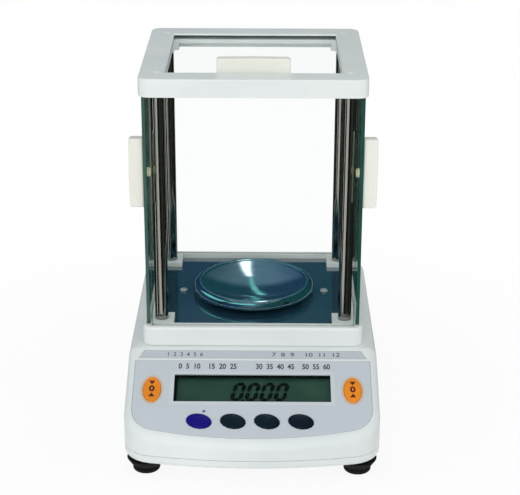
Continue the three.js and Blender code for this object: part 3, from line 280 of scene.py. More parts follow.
tent_finish = screen_finish("tent")
across, _, height = tent_finish.axes(tent_finish.place())
rightward = tent_finish.between(across, -tent_change, tent_change)
low_part = tent_finish.blend(rightward, tent_low_left, tent_low_right)
high_part = tent_finish.blend(rightward, tent_high_left, tent_high_right)
inward = tent_finish.between(tent_finish.maths("ABSOLUTE", across), tent_aside_from, tent_aside_to)
upward = tent_finish.between(height, tent_high_from, tent_high_to)
tent_finish.set(emission_color=tent_finish.blend(upward * inward, low_part, high_part))
tent_rows = [[on_dome(turn, climb, tent_radius) for turn in tent_turns] for climb in tent_climbs]
sheet("dark_tent", tent_rows, tent_finish)

low_finish = screen_finish("low_screen")
outward = low_finish.node("ShaderNodeVectorMath", {0: low_finish.place()}, operation="NORMALIZE")
streaks = low_finish.between(low_finish.noise(outward, low_screen_streaks, 3), 0.5, 0.72)
low_finish.set(emission_color=low_finish.blend(streaks, low_screen_dark, low_screen_grey))
for count, (first, last) in enumerate(low_screen_arcs):
    share = (last - first) / low_screen_steps
    angles = [math.radians(first + share * step) for step in range(low_screen_steps + 1)]
    low_rows = [[(radius * math.cos(angle), chamber_y + radius * math.sin(angle), low_screen_height)
                 for angle in angles] for radius in (low_screen_near, low_screen_far)]
    sheet(f"low_screen_{count}", low_rows, low_finish)

for name, colour, strength, edges in cards:
    card_finish = screen_finish(name)
    card_finish.set(emission_color=colour, emission_strength=strength)
    sheet(name, [[on_dome(*point, tent_radius - card_gap) for point in pair] for pair in edges], card_finish)

for name, place, size, power in lamps:
    lamp = bpy.data.objects.new(name, bpy.data.lights.new(name, "AREA"))
    lamp.data.shape = "DISK"
    lamp.data.size = size
    lamp.data.energy = power
    lamp.location = place
    lamp.rotation_euler = (lamp_aim - Vector(place)).to_track_quat("-Z", "Y").to_euler()
    scene.collection.objects.link(lamp)

room = bpy.data.worlds.new("room")
scene.world = room
room.use_nodes = True
room_tree = Tree(room.node_tree)
room_air = room_tree.nodes["Background"].inputs
room_tree.feed(room_air["Color"], (1, 1, 1))
room_tree.feed(room_air["Strength"], room_light + seen_directly(room_tree) * (1 - room_light))


# Case: a shallow tray and a deep upper shell, both moulded in pale grey-white plastic.
# They meet along a fine parting line and are screwed together from below.
mm = 0.001
case_white = (0.76, 0.80, 0.795)
case_shade = (0.70, 0.75, 0.75)
case_gloss = 0.38
mould_clouds, mould_sheen, mould_grain = 14, 55, 2600
sheen_spread = 0.12
edge_soft = 0.5 * mm
bevel_segments = 2
smooth_angle = 38
merge_reach = 0.002 * mm
flat_angle = math.radians(0.4)


def moulded(name, colour, shade, roughness, grain=0.012 * mm, gloss=0.45):
    """Moulded plastic: a fine spark-eroded grain, slight clouding and finger gloss."""
    finish = Finish(name, specular_ior_level=gloss)
    here = finish.place()
    clouds = finish.noise(here, mould_clouds, 3)
    finish.set(base_color=finish.blend(finish.between(clouds, 0.35, 0.7), colour, shade))
    finish.set(roughness=roughness + (finish.noise(here, mould_sheen) - 0.5) * sheen_spread)
    finish.emboss(finish.noise(here, mould_grain, 1), grain)
    return finish.material


def ended(work, name):
    """Ends the work on a mesh and gives the mesh."""
    mesh = bpy.data.meshes.new(name)
    work.to_mesh(mesh)
    work.free()
    return mesh


def merged(node):
    """A copy of a CAD node's mesh with its loose triangles merged into whole faces."""
    work = bmesh.new()
    work.from_mesh(frame["nodes"][node].data)
    bmesh.ops.remove_doubles(work, verts=work.verts, dist=merge_reach)
    bmesh.ops.dissolve_limit(work, angle_limit=flat_angle, verts=work.verts, edges=work.edges)
    return ended(work, f"{node}_dressed")


def settled(made):
    """Makes a piece's modifiers part of its mesh."""
    graph = bpy.context.evaluated_depsgraph_get()
    mesh = bpy.data.meshes.new_from_object(made.evaluated_get(graph), depsgraph=graph)
    made.modifiers.clear()
    made.data = mesh
    return made


def softened(made, edge, smooth=smooth_angle, segments=bevel_segments):
    """Rounds the sharp edges of a piece and smooths its curved faces."""
    made.data.shade_smooth()
    made.data.set_sharp_from_angle(angle=math.radians(smooth))
    if edge:
        bevel = made.modifiers.new("edges", "BEVEL")
        bevel.width, bevel.segments = edge, segments
        bevel.limit_method, bevel.angle_limit = "ANGLE", math.radians(smooth)
        bevel.harden_normals = True
    made.modifiers.new("shading", "WEIGHTED_NORMAL").keep_sharp = True
    return settled(made)


def seated(made, slot, *nodes):
    """Puts a finished piece in the place of its CAD nodes."""
    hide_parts(*nodes)
    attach(made, frame["nodes"][nodes[0]]["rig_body"])


def dressed(node, material, edge=edge_soft, smooth=smooth_angle, slot="case_plastic"):
    """The CAD node's own shape with softened edges and its finish, in place of the node."""
    seated(softened(piece(f"{node}_dressed", merged(node), material), edge, smooth), slot, node)


case_finish = moulded("case_white", case_white, case_shade, case_gloss)
dressed("lower_case", case_finish)
dressed("upper_case", case_finish)


# Screws: pan-head steel screws with a straight slot, under the case, in the chamber
# floor and in the corners of the top frame, where they hold the frame on its posts.
screw_steel = (0.78, 0.78, 0.76)
cap_nickel = (0.92, 0.95, 0.94)
floor_screw_steel = (0.60, 0.66, 0.68)
brush_lines = 1800
brush_depth = 0.003 * mm
brush_shade = 0.86
screw_sides = 28
screw_crown = 0.72
screw_edge = 0.12 * mm
slot_width, slot_depth = 1.0 * mm, 0.7 * mm


def brushed(name, colour, roughness, metal=1.0):
    """Steel with fine lines in its polish."""
    finish = Finish(name, metallic=metal)
    lines = finish.noise(finish.place(), brush_lines)
    finish.set(base_color=finish.blend(lines, tuple(channel * brush_shade for channel in colour), colour))
    finish.set(roughness=roughness + (lines - 0.5) * sheen_spread)
    finish.emboss(lines, brush_depth)
    return finish.material


class Growth(Tree):
    """A Geometry Nodes tree with named sizes, which puts one shape on every point."""

    def __init__(self, name, sizes):
        super().__init__(bpy.data.node_groups.new(name, "GeometryNodeTree"))
        self.names = {}
        for way in ("INPUT", "OUTPUT"):
            self.kept.interface.new_socket("Geometry", in_out=way, socket_type="NodeSocketGeometry")
        for size, value in {**sizes, "Finish": None}.items():
            kind = {float: "Float", int: "Int", bool: "Bool"}.get(type(value), "Material")
            socket = self.kept.interface.new_socket(size, in_out="INPUT", socket_type=f"NodeSocket{kind}")
            socket.default_value = value
            self.names[size] = socket.identifier
        self.given = {each.name: Signal(self, each) for each in self.nodes.new("NodeGroupInput").outputs}

    def point(self, **places):
        return self.node("ShaderNodeCombineXYZ", places)

    def rod(self, sides, radius, length, top_radius=None):
        """An upright bar, or a cone where its top has a radius of its own."""
        return self.node("GeometryNodeMeshCone", {
            "Vertices": sides, "Radius Top": top_radius or radius, "Radius Bottom": radius, "Depth": length})

    def lifted(self, shape, height):
        return self.node("GeometryNodeTransform", {"Geometry": shape, "Translation": self.point(Z=height)})

    def spread(self, shape, points, turned):
        """Ends the tree with the shape on every point, as real mesh in the given finish."""
        copies = self.node(
            "GeometryNodeInstanceOnPoints", {"Points": points, "Instance": shape, "Rotation": turned})
        whole = self.node("GeometryNodeRealizeInstances", {"Geometry": copies})
        coated = self.node("GeometryNodeSetMaterial", {"Geometry": whole, "Material": self.given["Finish"]})
        self.feed(self.nodes.new("NodeGroupOutput").inputs[0], coated)


def slotted_screws():
    """Slotted screws, head up, from a rim, a dome and a shank with a cut slot.

    The union's fast solver drops the shanks of the floor and post screws, which are out of sight.
    """
    growth = Growth("slotted_screws", {
        "Head Radius": 3 * mm, "Head Height": 1.6 * mm, "Shank Radius": 1.6 * mm, "Shank Length": 8 * mm,
        "Slot Width": slot_width, "Slot Depth": slot_depth, "Upside Down": False})
    size = growth.given
    half = size["Head Height"] * 0.5
    rim = growth.rod(screw_sides, size["Head Radius"], half)
    dome = growth.rod(screw_sides, size["Head Radius"], half, size["Head Radius"] * screw_crown)
    shank = growth.rod(screw_sides, size["Shank Radius"], size["Shank Length"])
    solid = growth.node("GeometryNodeMeshBoolean", {
        "Mesh": [rim, growth.lifted(dome, half), growth.lifted(shank, size["Shank Length"] * -1)]},
        operation="UNION")
    cutter = growth.node("GeometryNodeMeshCube", {"Size": growth.point(
        X=size["Head Radius"] * 3, Y=size["Slot Width"], Z=size["Slot Depth"] * 2)})
    cut = growth.node("GeometryNodeMeshBoolean", {
        "Mesh 1": solid, "Mesh 2": growth.lifted(cutter, size["Head Height"])}, operation="DIFFERENCE")
    growth.spread(cut, size["Geometry"], growth.point(X=size["Upside Down"] * math.pi))
    return growth


def grown(name, places, growth, sizes):
    """Runs a Geometry Nodes tree on a set of points and keeps the plain mesh."""
    seed = bpy.data.meshes.new(name)
    seed.from_pydata(places, [], [])
    made = piece(name, seed)
    modifier = made.modifiers.new(growth.kept.name, "NODES")
    modifier.node_group = growth.kept
    for size, value in sizes.items():
        modifier[growth.names[size]] = value
    return settled(made)


def round_seat(node):
    """The middle, the radius, the bottom and the top of a round CAD node."""
    low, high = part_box(node)
    return ((low.x + high.x) / 2, (low.y + high.y) / 2), (high.x - low.x) / 2, low.z, high.z


corners = ["front_left", "front_right", "rear_left", "rear_right"]
screw_growth = slotted_screws()
screw_finish = brushed("screw_steel", screw_steel, 0.3)
cap_finish = brushed("cap_nickel", cap_nickel, 0.35, metal=0.1)
floor_screw_finish = brushed("floor_screw_steel", floor_screw_steel, 0.3, metal=0.5)
# The radii and heights in this table are in millimetres.
for name, nodes, head_radius, head_height, shank_radius, finish, upside_down in (
    ("case_screws", [f"case_screw_{corner}" for corner in corners], 3.4, 1.8, 1.8, screw_finish, True),
    ("floor_screws", ["floor_screw_left", "floor_screw_right"], 3.6, 1.6, 1.6, floor_screw_finish, False),
    ("post_screws", [f"post_screw_{corner}" for corner in corners], 3.2, 1.8, 2.0, cap_finish, False),
):
    head = head_height * mm
    seats = [round_seat(node) for node in nodes]
    places = [(*centre, bottom + head if upside_down else top - head) for centre, _, bottom, top in seats]
    _, _, bottom, top = seats[0]
    made = grown(name, places, screw_growth, {
        "Head Radius": head_radius * mm, "Head Height": head, "Shank Radius": shank_radius * mm,
        "Shank Length": top - bottom - head, "Slot Width": slot_width, "Slot Depth": slot_depth,
        "Upside Down": upside_down, "Finish": finish})
    seated(softened(made, screw_edge, smooth=30), "steel", *nodes)


# Front feet: black knurled wheels on threaded stems that screw into the tray, each over
# a rubber sole. The rear feet are plain rubber pads that are pushed into the tray.
foot_black, foot_shade = (0.003, 0.003, 0.003), (0.006, 0.006, 0.006)
rubber_black, rubber_shade = foot_shade, (0.010, 0.010, 0.009)
foot_gloss, foot_grain = 0.16, 0.03 * mm
rubber_grain, rubber_edge = 0.05 * mm, 0.4 * mm
stem_radius, stem_chamfer, stem_sides = 4 * mm, 0.5 * mm, 40
wheel_height = 8.9 * mm
wheel_taper = 5 * mm
wheel_edge = 0.9 * mm
wheel_sides = 96
rib_count, rib_sides, rib_radius = 44, 8, 0.75 * mm
rib_stand, rib_end = 0.6 * mm, 0.7 * mm
sole_hub, sole_recess = 5 * mm, 1.6 * mm
sole_bore = sole_hub + 0.3 * mm
sole_top = 3.9 * mm
sole_chamfer = 2.2 * mm
sole_sides = 64


def bridged(work, first, second):
    """Faces between two rings of corners, or between a ring and its pole."""
    for step in range(len(first)):
        after = (step + 1) % len(first)
        around = dict.fromkeys([first[step], first[after], second[after], second[step]])
        if len(around) > 2:
            work.faces.new(list(around))


def turned(name, profile, centre, material, sides=wheel_sides, closed=False):
    """A round piece from its profile of radius and height, turned about an upright axis."""
    work = bmesh.new()
    rings = []
    for radius, height in profile:
        if radius <= 0:
            rings.append([work.verts.new((*centre, height))] * sides)
            continue
        ring = []
        for step in range(sides):
            angle = 2 * math.pi * step / sides
            x, y = radius * math.cos(angle), radius * math.sin(angle)
            ring.append(work.verts.new((centre[0] + x, centre[1] + y, height)))
        rings.append(ring)
    for first, second in list(zip(rings, rings[1:])) + ([(rings[-1], rings[0])] if closed else []):
        bridged(work, first, second)
    bmesh.ops.recalc_face_normals(work, faces=work.faces)
    return piece(name, ended(work, name), material)


def rounded_corner(centre, radius, start, end, steps=5):
    """Profile points of a round between two angles in degrees."""
    angles = [math.radians(start + (end - start) * step / steps) for step in range(steps + 1)]
    return [(centre[0] + radius * math.cos(angle), centre[1] + radius * math.sin(angle)) for angle in angles]


def wheel_ribs():
    """Ribs round a wheel: one bar on every point of a circle, turned to stand outward."""
    growth = Growth("wheel_ribs", {
        "Count": rib_count, "Low Radius": 13 * mm, "High Radius": 16 * mm, "Low": 0.0, "High": 5 * mm,
        "Rib Radius": rib_radius})
    size = growth.given
    spine = growth.node("GeometryNodeCurvePrimitiveLine", {
        "Start": growth.point(X=size["Low Radius"], Z=size["Low"]),
        "End": growth.point(X=size["High Radius"], Z=size["High"])})
    section = growth.node("GeometryNodeCurvePrimitiveCircle", {
        "Resolution": rib_sides, "Radius": size["Rib Radius"]})
    bar = growth.node("GeometryNodeCurveToMesh", {
        "Curve": spine, "Profile Curve": section, "Fill Caps": True})
    angle = growth.maths("DIVIDE", growth.node("GeometryNodeInputIndex") * (2 * math.pi), size["Count"])
    growth.spread(bar, growth.node("GeometryNodePoints", {"Count": size["Count"]}), growth.point(Z=angle))
    return growth


def joined(name, *pieces):
    """Several pieces of one real part as one mesh."""
    work = bmesh.new()
    materials = []
    for part in pieces:
        first = len(work.faces)
        work.from_mesh(part.data)
        work.faces.ensure_lookup_table()
        for face in list(work.faces)[first:]:
            material = part.data.materials[face.material_index]
            if material not in materials:
                materials.append(material)
            face.material_index = materials.index(material)
        bpy.data.objects.remove(part)
    made = piece(name, ended(work, name))
    for material in materials:
        made.data.materials.append(material)
    return made


foot_finish = moulded("foot_black", foot_black, foot_shade, 0.6, foot_grain, foot_gloss)
rubber_finish = moulded("foot_rubber", rubber_black, rubber_shade, 0.8, rubber_grain, foot_gloss)
rib_growth = wheel_ribs()
for side in ("left", "right"):
    centre, rim_radius, bottom, top = round_seat(f"foot_wheel_{side}")
    wheel_top = bottom + wheel_height
    stem = turned(f"stem_{side}", [
        (0, top), (stem_radius - stem_chamfer, top), (stem_radius, top - stem_chamfer),
        (stem_radius, wheel_top), (0, wheel_top)], centre, screw_finish, sides=stem_sides)
    disc_radius = rim_radius - rib_stand
    disc = turned(f"disc_{side}", [
        (0, wheel_top), (disc_radius - wheel_edge, wheel_top),
        *rounded_corner((disc_radius - wheel_edge, wheel_top - wheel_edge), wheel_edge, 90, 0),
        (disc_radius - wheel_taper, bottom + wheel_edge), (disc_radius - wheel_taper - wheel_edge, bottom),
        (sole_bore, bottom), (sole_bore, bottom + sole_recess), (0, bottom + sole_recess),
    ], centre, foot_finish)
    ribs = grown(f"ribs_{side}", [(0, 0, 0)], rib_growth, {
        "Count": rib_count, "Low Radius": rim_radius - wheel_taper - rib_radius,
        "High Radius": rim_radius - rib_radius, "Low": bottom + rib_end, "High": wheel_top - rib_end,
        "Rib Radius": rib_radius, "Finish": foot_finish})
    ribs.data.transform(Matrix.Translation((*centre, 0)))
    wheel = joined(f"levelling_wheel_{side}", stem, disc, ribs)
    seated(softened(wheel, 0, smooth=42), "black_plastic", f"foot_wheel_{side}")

    _, sole_radius, _, top = round_seat(f"foot_sole_{side}")
    sole = turned(f"levelling_sole_{side}", [
        (0, 0), *rounded_corner((sole_radius - sole_chamfer, sole_chamfer), sole_chamfer, -90, 0),
        (sole_radius, sole_top), (sole_hub, sole_top), (sole_hub, top), (0, top),
    ], centre, rubber_finish, sides=sole_sides)
    seated(softened(sole, 0), "rubber", f"foot_sole_{side}")
    dressed(f"rear_foot_{side}", rubber_finish, edge=rubber_edge, slot="rubber")


# Control panel film: one pale grey printed film over the slope, with a paler frame round the
# display, warm rings round the two zero keys and a grey strip along the bend. Plain numbers
# are printed above the display and on the strip.
bend = Vector((0, -0.055, 0.0822))
slope = math.atan2(43.46, 99)
on_slope = Matrix.Translation(bend) @ Matrix.Rotation(slope, 4, "X")
film_lilac, film_shade = (0.57, 0.625, 0.665), (0.53, 0.585, 0.635)
strip_grey, strip_shade = (0.53, 0.57, 0.615), (0.49, 0.53, 0.58)
frame_ink = (0.62, 0.67, 0.71)
number_ink, number_shade = (0.012, 0.014, 0.024), (0.05, 0.055, 0.075)
strip_ink, strip_ink_shade = (0.06, 0.07, 0.095), (0.12, 0.13, 0.16)
warm_ink, warm_shade = (0.66, 0.47, 0.33), (0.62, 0.50, 0.40)
film_gloss, film_roughness = 0.4, 0.42
film_tints, film_sheen, film_peel, film_peel_depth = 9, 120, 3400, 0.006 * mm
film_edge = 0.15 * mm
ink_height = 0.04 * mm
window_half, window_top, window_foot = 68 * mm, -31 * mm, -31 * mm - 30.02 * mm
window_corner = 0.4 * mm
frame_ink_width, frame_ink_corner = 3.4 * mm, 1.2 * mm
warm_ring_outer, warm_ring_inner = (10 * mm, 16 * mm), (8 * mm, 13.9 * mm)
# Each key's place across the film and down from the bend, in millimetres.
key_places = {
    "key_power": (-45.2, 82.52), "key_mode": (-16.2, 82.52), "key_count": (12.8, 82.52),
    "key_print": (41.8, 82.52), "key_tare_left": (-87, 48.31), "key_tare_right": (87, 48.31),
}


def printed(name, colour, shade):
    """Screen-printed film: a fine emboss, a slight orange-peel and even ink."""
    finish = Finish(name, specular_ior_level=film_gloss)
    here = finish.place()
    finish.set(base_color=finish.blend(finish.noise(here, film_tints), colour, shade))
    finish.set(roughness=film_roughness + (finish.noise(here, film_sheen) - 0.5) * 0.1)
    finish.emboss(finish.noise(here, film_peel, 0), film_peel_depth)
    return finish.material


def flat_ring(name, outline, inset, height, material):
    """A thin printed band between an outline and the same outline moved inward."""
    work = bmesh.new()
    bridged(work, *([work.verts.new((x, y, height)) for x, y in ring] for ring in (outline, inset)))
    return piece(name, ended(work, name), material)


def box_outline(half_x, low_y, high_y, radius, steps=6):
    """A rounded rectangle, anticlockwise."""
    points = []
    for side, level, start in ((1, high_y - radius, 0), (-1, high_y - radius, 90),
                               (-1, low_y + radius, 180), (1, low_y + radius, 270)):
        points += rounded_corner((side * (half_x - radius), level), radius, start, start + 90, steps)
    return points


def oval_outline(half_x, half_y, tilt=0.0, steps=64):
    """An oval about the origin, anticlockwise, tilted by an angle."""
    points = []
    for step in range(steps):
        angle = 2 * math.pi * step / steps
        x, y = half_x * math.cos(angle), half_y * math.sin(angle)
        points.append((x * math.cos(tilt) - y * math.sin(tilt), x * math.sin(tilt) + y * math.cos(tilt)))
    return points


def numerals(name, text, left, right, middle, high, weight, material):
    """Plain printed numbers, fitted between two places across the film."""
    letters = bpy.data.curves.new(name, "FONT")
    letters.body = text
    letters.offset = weight
    typed = piece(f"{name}_typed", letters)
    graph = bpy.context.evaluated_depsgraph_get()
    mesh = bpy.data.meshes.new_from_object(typed.evaluated_get(graph), depsgraph=graph)
    bpy.data.objects.remove(typed)
    first, last = (pick(vert.co.x for vert in mesh.vertices) for pick in (min, max))
    foot, top = (pick(vert.co.y for vert in mesh.vertices) for pick in (min, max))
    fitted = Matrix.Diagonal(((right - left) / (last - first), high / (top - foot), 1, 1))
    mesh.transform(Matrix.Translation((left, -middle - high / 2, ink_height)) @ fitted
                   @ Matrix.Translation((-first, -foot, 0)))
    return piece(name, mesh, material)


film_finish = printed("panel_film", film_lilac, film_shade)
dressed("keypad_overlay", film_finish, edge=film_edge, slot="overlay_film")
dressed("label_strip", printed("strip_film", strip_grey, strip_shade), edge=film_edge, slot="strip_film")
frame_outer = box_outline(window_half + frame_ink_width, window_foot - frame_ink_width,
                          window_top + frame_ink_width, frame_ink_corner)
window_outline = box_outline(window_half, window_foot, window_top, window_corner)
prints = [flat_ring("display_frame_print", frame_outer, window_outline, ink_height,
                    printed("frame_ink", frame_ink, film_lilac))]
warm_finish = printed("warm_ink", warm_ink, warm_shade)
for name in ("key_tare_left", "key_tare_right"):
    ring = flat_ring(f"{name}_ring", oval_outline(*warm_ring_outer), oval_outline(*warm_ring_inner),
                     ink_height, warm_finish)
    across, down = key_places[name]
    ring.data.transform(Matrix.Translation((across * mm, -down * mm, 0)))
    prints.append(ring)
number_finish = printed("number_ink", number_ink, number_shade)
strip_number_finish = printed("strip_ink", strip_ink, strip_ink_shade)
for name, text, left, right, middle, high, weight, finish in (
    ("numbers_left", "0  5  10    15  20  25", -65, -14, 21.6, 6.2, 0.026, number_finish),
    ("numbers_right", "30  35  40  45    50  55  60", 3, 68, 21.6, 6.2, 0.026, number_finish),
    ("strip_left", "1  2  3  4  5  6", -75, -44, 7.9, 4.6, 0.012, strip_number_finish),
    ("strip_right", "7  8  9    10  11  12", 17, 77, 7.9, 4.6, 0.012, strip_number_finish),
):
    prints.append(numerals(name, text, left * mm, right * mm, middle * mm, high * mm, weight, finish))
panel_print = joined("panel_print", *prints)
panel_print.data.transform(on_slope)
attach(panel_print, "housing")


# Display: a liquid crystal behind a clear pane, dark green with black slanted figures.
# The glass cell lies in its holder on the display board under the slope, and a black band
# under the pane's top and left edges is painted shadow of the window's walls on the sunken crystal.
crystal_dark, crystal_light = (0.024, 0.062, 0.046), (0.036, 0.088, 0.062)
figure_black, figure_shade = (0.001, 0.003, 0.003), (0.003, 0.006, 0.005)
pane_tint, pane_depth = (0.97, 0.99, 0.98), (0.01, 0.03, 0.025)
figure_high, figure_wide, figure_stroke = 21.0 * mm, 11.0 * mm, 3.7 * mm
figure_gap = 0.12 * mm
figure_lean = math.tan(math.radians(13))
figure_places = [-12.2 * mm, 0.4 * mm, 12.9 * mm, 25.4 * mm]
figure_level = -3.44 * mm
figure_foot = window_foot + 2.9 * mm
point_size = 2.2 * mm
zero_bars = "abcdef"
# The black band is painted shadow, where the window's top and left walls shade the sunken crystal.
painted_shadow_side, painted_shadow_shift, painted_shadow_foot, painted_shadow_top = 1.5 * mm, 1.0 * mm, 0.3 * mm, 3.2 * mm
painted_shadow_below = 0.05 * mm
crystal_edge, pane_edge = 0.1 * mm, 0.2 * mm


def mottled(name, scale, low, high, **surface):
    """A plain finish whose colour drifts softly between two."""
    finish = Finish(name, **surface)
    finish.set(base_color=finish.blend(finish.noise(finish.place(), scale), low, high))
    return finish.material


def glazed(name, tint, depth_tint, clear, green):
    """Float glass: clear where it is looked through squarely, green and shiny where it is not."""
    finish = Finish(name, base_color=depth_tint, ior=1.5)
    facing = finish.node("ShaderNodeLayerWeight", {"Blend": 0.5}, 1)
    finish.set(roughness=0.02 + finish.noise(finish.place(), 30, 3) * 0.03)
    through = finish.node("ShaderNodeBsdfTransparent", {"Color": tint})
    share = (1 - clear) + (facing ** 5) * green
    finish.mixed(finish.maths("MINIMUM", share, 1.0), first=through)
    return finish.material


def zero_outlines():
    """The six bars of a zero, as six-sided outlines about its lower left corner."""
    half, gap = figure_stroke / 2, figure_gap
    wide, high = figure_wide, figure_high
    bars = {}
    for name, y in (("d", half), ("a", high - half)):
        near, far = half + gap, wide - half - gap
        bars[name] = [(near, y), (2 * half + gap, y - half), (wide - 2 * half - gap, y - half),
                      (far, y), (wide - 2 * half - gap, y + half), (2 * half + gap, y + half)]
    for name, x, low in (("e", half, 0), ("c", wide - half, 0), ("f", half, high / 2),
                         ("b", wide - half, high / 2)):
        start = low + gap + (0 if low else half)
        end = low + high / 2 - gap - (half if low else 0)
        bars[name] = [(x, start), (x + half, start + half), (x + half, end - half), (x, end),
                      (x - half, end - half), (x - half, start + half)]
    return [bars[name] for name in zero_bars]


def figure_face(work, outline, left):
    """One slanted bar of a figure whose middle stands at a place across the display."""
    work.faces.new([work.verts.new((
        left - figure_wide / 2 + x + y * figure_lean - figure_high / 2 * figure_lean, figure_foot + y,
        figure_level)) for x, y in outline])


# The crystal's ground has a soft fade across it and a faint cloud in its gloss.
crystal = Finish("liquid_crystal", specular_ior_level=0.25)
here = crystal.place(centre=tuple(bend))
fade = crystal.between(crystal.noise(here, 22) + crystal.axes(here)[0] * 1.5, 0.3, 0.75)
crystal.set(base_color=crystal.blend(fade, crystal_dark, crystal_light))
crystal.set(roughness=0.22 + crystal.noise(here, 300, 1) * 0.06)
dressed("lcd_module", crystal.material, edge=crystal_edge, slot="display")
pane_finish = glazed("display_pane", pane_tint, pane_depth, 0.985, 0.1)
dressed("display_window", pane_finish, edge=pane_edge, slot="clear_glass")
figure_finish = mottled(
    "display_black", 400, figure_black, figure_shade, roughness=0.6, specular_ior_level=0.1)
work = bmesh.new()
for left in figure_places:
    for bar in zero_outlines():
        figure_face(work, bar, left)
point_left, point_right = (figure_wide - point_size) / 2, (figure_wide + point_size) / 2
figure_face(work, [(point_left, 0), (point_right, 0), (point_right, point_size), (point_left, point_size)],
            (figure_places[0] + figure_places[1]) / 2)
digits = piece("display_digits", ended(work, "display_digits"), figure_finish)
window_mesh = frame["nodes"]["display_window"].data
# A flat black band just under the pane, at its top and left edges, is painted shadow of the window's walls.
painted_shadow_level = min((on_slope.inverted() @ vert.co).z for vert in window_mesh.vertices) - painted_shadow_below
painted_shadow_inner = [(x + painted_shadow_shift, y) for x, y in box_outline(
    window_half - painted_shadow_side, window_foot + painted_shadow_foot, window_top - painted_shadow_top, window_corner)]
painted_shadow = flat_ring("window_painted_shadow", window_outline, painted_shadow_inner, painted_shadow_level, figure_finish)
figures = joined("display_figures", digits, painted_shadow)
figures.data.transform(on_slope)
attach(figures, "housing")


# Keys: domed caps that stand a little proud of the film. Four ovals lie in a row, the
# first one blue and the others slate, and two orange ones flank the display.
key_slate = (0.003, 0.010, 0.022)
key_colours = {"key_power": (0.006, 0.001, 0.19), "key_tare_left": (0.95, 0.30, 0.02),
               "key_tare_right": (0.95, 0.30, 0.02)}
key_mark, key_mark_shade = (0.10, 0.012, 0.004), (0.13, 0.018, 0.006)
key_shade = 0.8
key_grain, key_gloss = 0.004 * mm, 0.22
tare_half, oval_half = (7.7 * mm, 13.6 * mm), (11 * mm, 7.8 * mm)
oval_tilt = math.radians(-13)
key_proud, key_dome, key_rim = 1.8 * mm, 0.7 * mm, 0.9 * mm
key_rim_steps, key_dome_shares = 4, (0.85, 0.65, 0.45, 0.25, 0.1)
key_bottom, key_stem_top = -4.2 * mm, -3.0 * mm
mark_narrow, mark_sides = 0.72, 32
mark_radius, mark_stroke, mark_gap = 3.4 * mm, 1.7 * mm, 0.9 * mm
arrow_high, arrow_half = 4.4 * mm, 0.6 * 4.4 * mm
mark_over, arrow_under = 0.03 * mm, 0.1 * mm
lamp_lens, lamp_shade, lamp_edge = (0.16, 0.14, 0.50), (0.10, 0.10, 0.42), 0.25 * mm


def domed_key(name, half_x, half_y, tilt, material):
    """A key cap: a rounded edge and a low dome, down to its flange and stem under the film."""
    across, down = (value * mm for value in key_places[name])
    shoulder = key_proud - key_rim - key_dome
    levels = [(1.0, 0.0, key_bottom), (1.0, 0.0, shoulder)]
    for step in range(1, key_rim_steps + 1):
        angle = math.pi / 2 * step / key_rim_steps
        levels.append((1.0, key_rim * (1 - math.cos(angle)),
                       key_proud - key_dome - key_rim + key_rim * math.sin(angle)))
    levels += [(share, key_rim * share, key_proud - key_dome * share ** 2) for share in key_dome_shares]
    work = bmesh.new()
    rings = []
    for share, inset, height in levels:
        outline = oval_outline((half_x - inset) * share, (half_y - inset) * share, tilt)
        rings.append([work.verts.new((across + x, -down + y, height)) for x, y in outline])
    for first, second in zip(rings, rings[1:]):
        bridged(work, first, second)
    work.faces.new(rings[-1])
    work.faces.new(rings[0][::-1])
    mesh = ended(work, name)
    mesh.transform(on_slope)
    return piece(f"{name}_cap", mesh, material)


def key_underside(name, material):
    """The flange and stem of a key, kept from its CAD node below the cap."""
    work = bmesh.new()
    work.from_mesh(frame["nodes"][name].data)
    bmesh.ops.remove_doubles(work, verts=work.verts, dist=merge_reach)
    off_slope = on_slope.inverted()
    gone = [face for face in work.faces
            if max((off_slope @ vert.co).z for vert in face.verts) >= key_stem_top]
    bmesh.ops.delete(work, geom=gone, context="FACES")
    return piece(f"{name}_stem", ended(work, f"{name}_stem"), material)


def zero_mark(name, material):
    """A generic zero sign on an orange key: a ring between two arrows that point at it."""
    across, down = (value * mm for value in key_places[name])
    ring = flat_ring(f"{name}_zero", oval_outline(mark_radius * mark_narrow, mark_radius, steps=mark_sides),
                     oval_outline(mark_radius * mark_narrow - mark_stroke, mark_radius - mark_stroke,
                                  steps=mark_sides), key_proud + mark_over, material)
    work = bmesh.new()
    work.from_mesh(ring.data)
    tip = mark_radius + mark_gap
    points = [(0, tip), (arrow_half, tip + arrow_high), (-arrow_half, tip + arrow_high)]
    for way in (1, -1):
        ends = [work.verts.new((x, way * y, key_proud - arrow_under)) for x, y in points]
        work.faces.new(ends[::way])
    work.to_mesh(ring.data)
    work.free()
    ring.data.transform(on_slope @ Matrix.Translation((across, -down, 0)))
    return ring


mark_finish = printed("key_mark_red", key_mark, key_mark_shade)
for name in key_places:
    colour = key_colours.get(name, key_slate)
    deeper = tuple(channel * key_shade for channel in colour)
    key_finish = moulded(f"{name}_finish", colour, deeper, 0.3, key_grain, key_gloss)
    is_tare = "tare" in name
    cap = domed_key(name, *(tare_half if is_tare else oval_half), 0 if is_tare else oval_tilt, key_finish)
    marks = [zero_mark(name, mark_finish)] if is_tare else []
    key = joined(f"{name}_dressed", cap, key_underside(name, key_finish), *marks)
    slot = "orange_key" if is_tare else "blue_key" if name == "key_power" else "slate_key"
    seated(softened(key, 0, smooth=50), slot, name)

lamp_finish = mottled("power_lamp_lens", 900, lamp_lens, lamp_shade, roughness=0.2)
dressed("power_led", lamp_finish, edge=lamp_edge, slot="lamp")


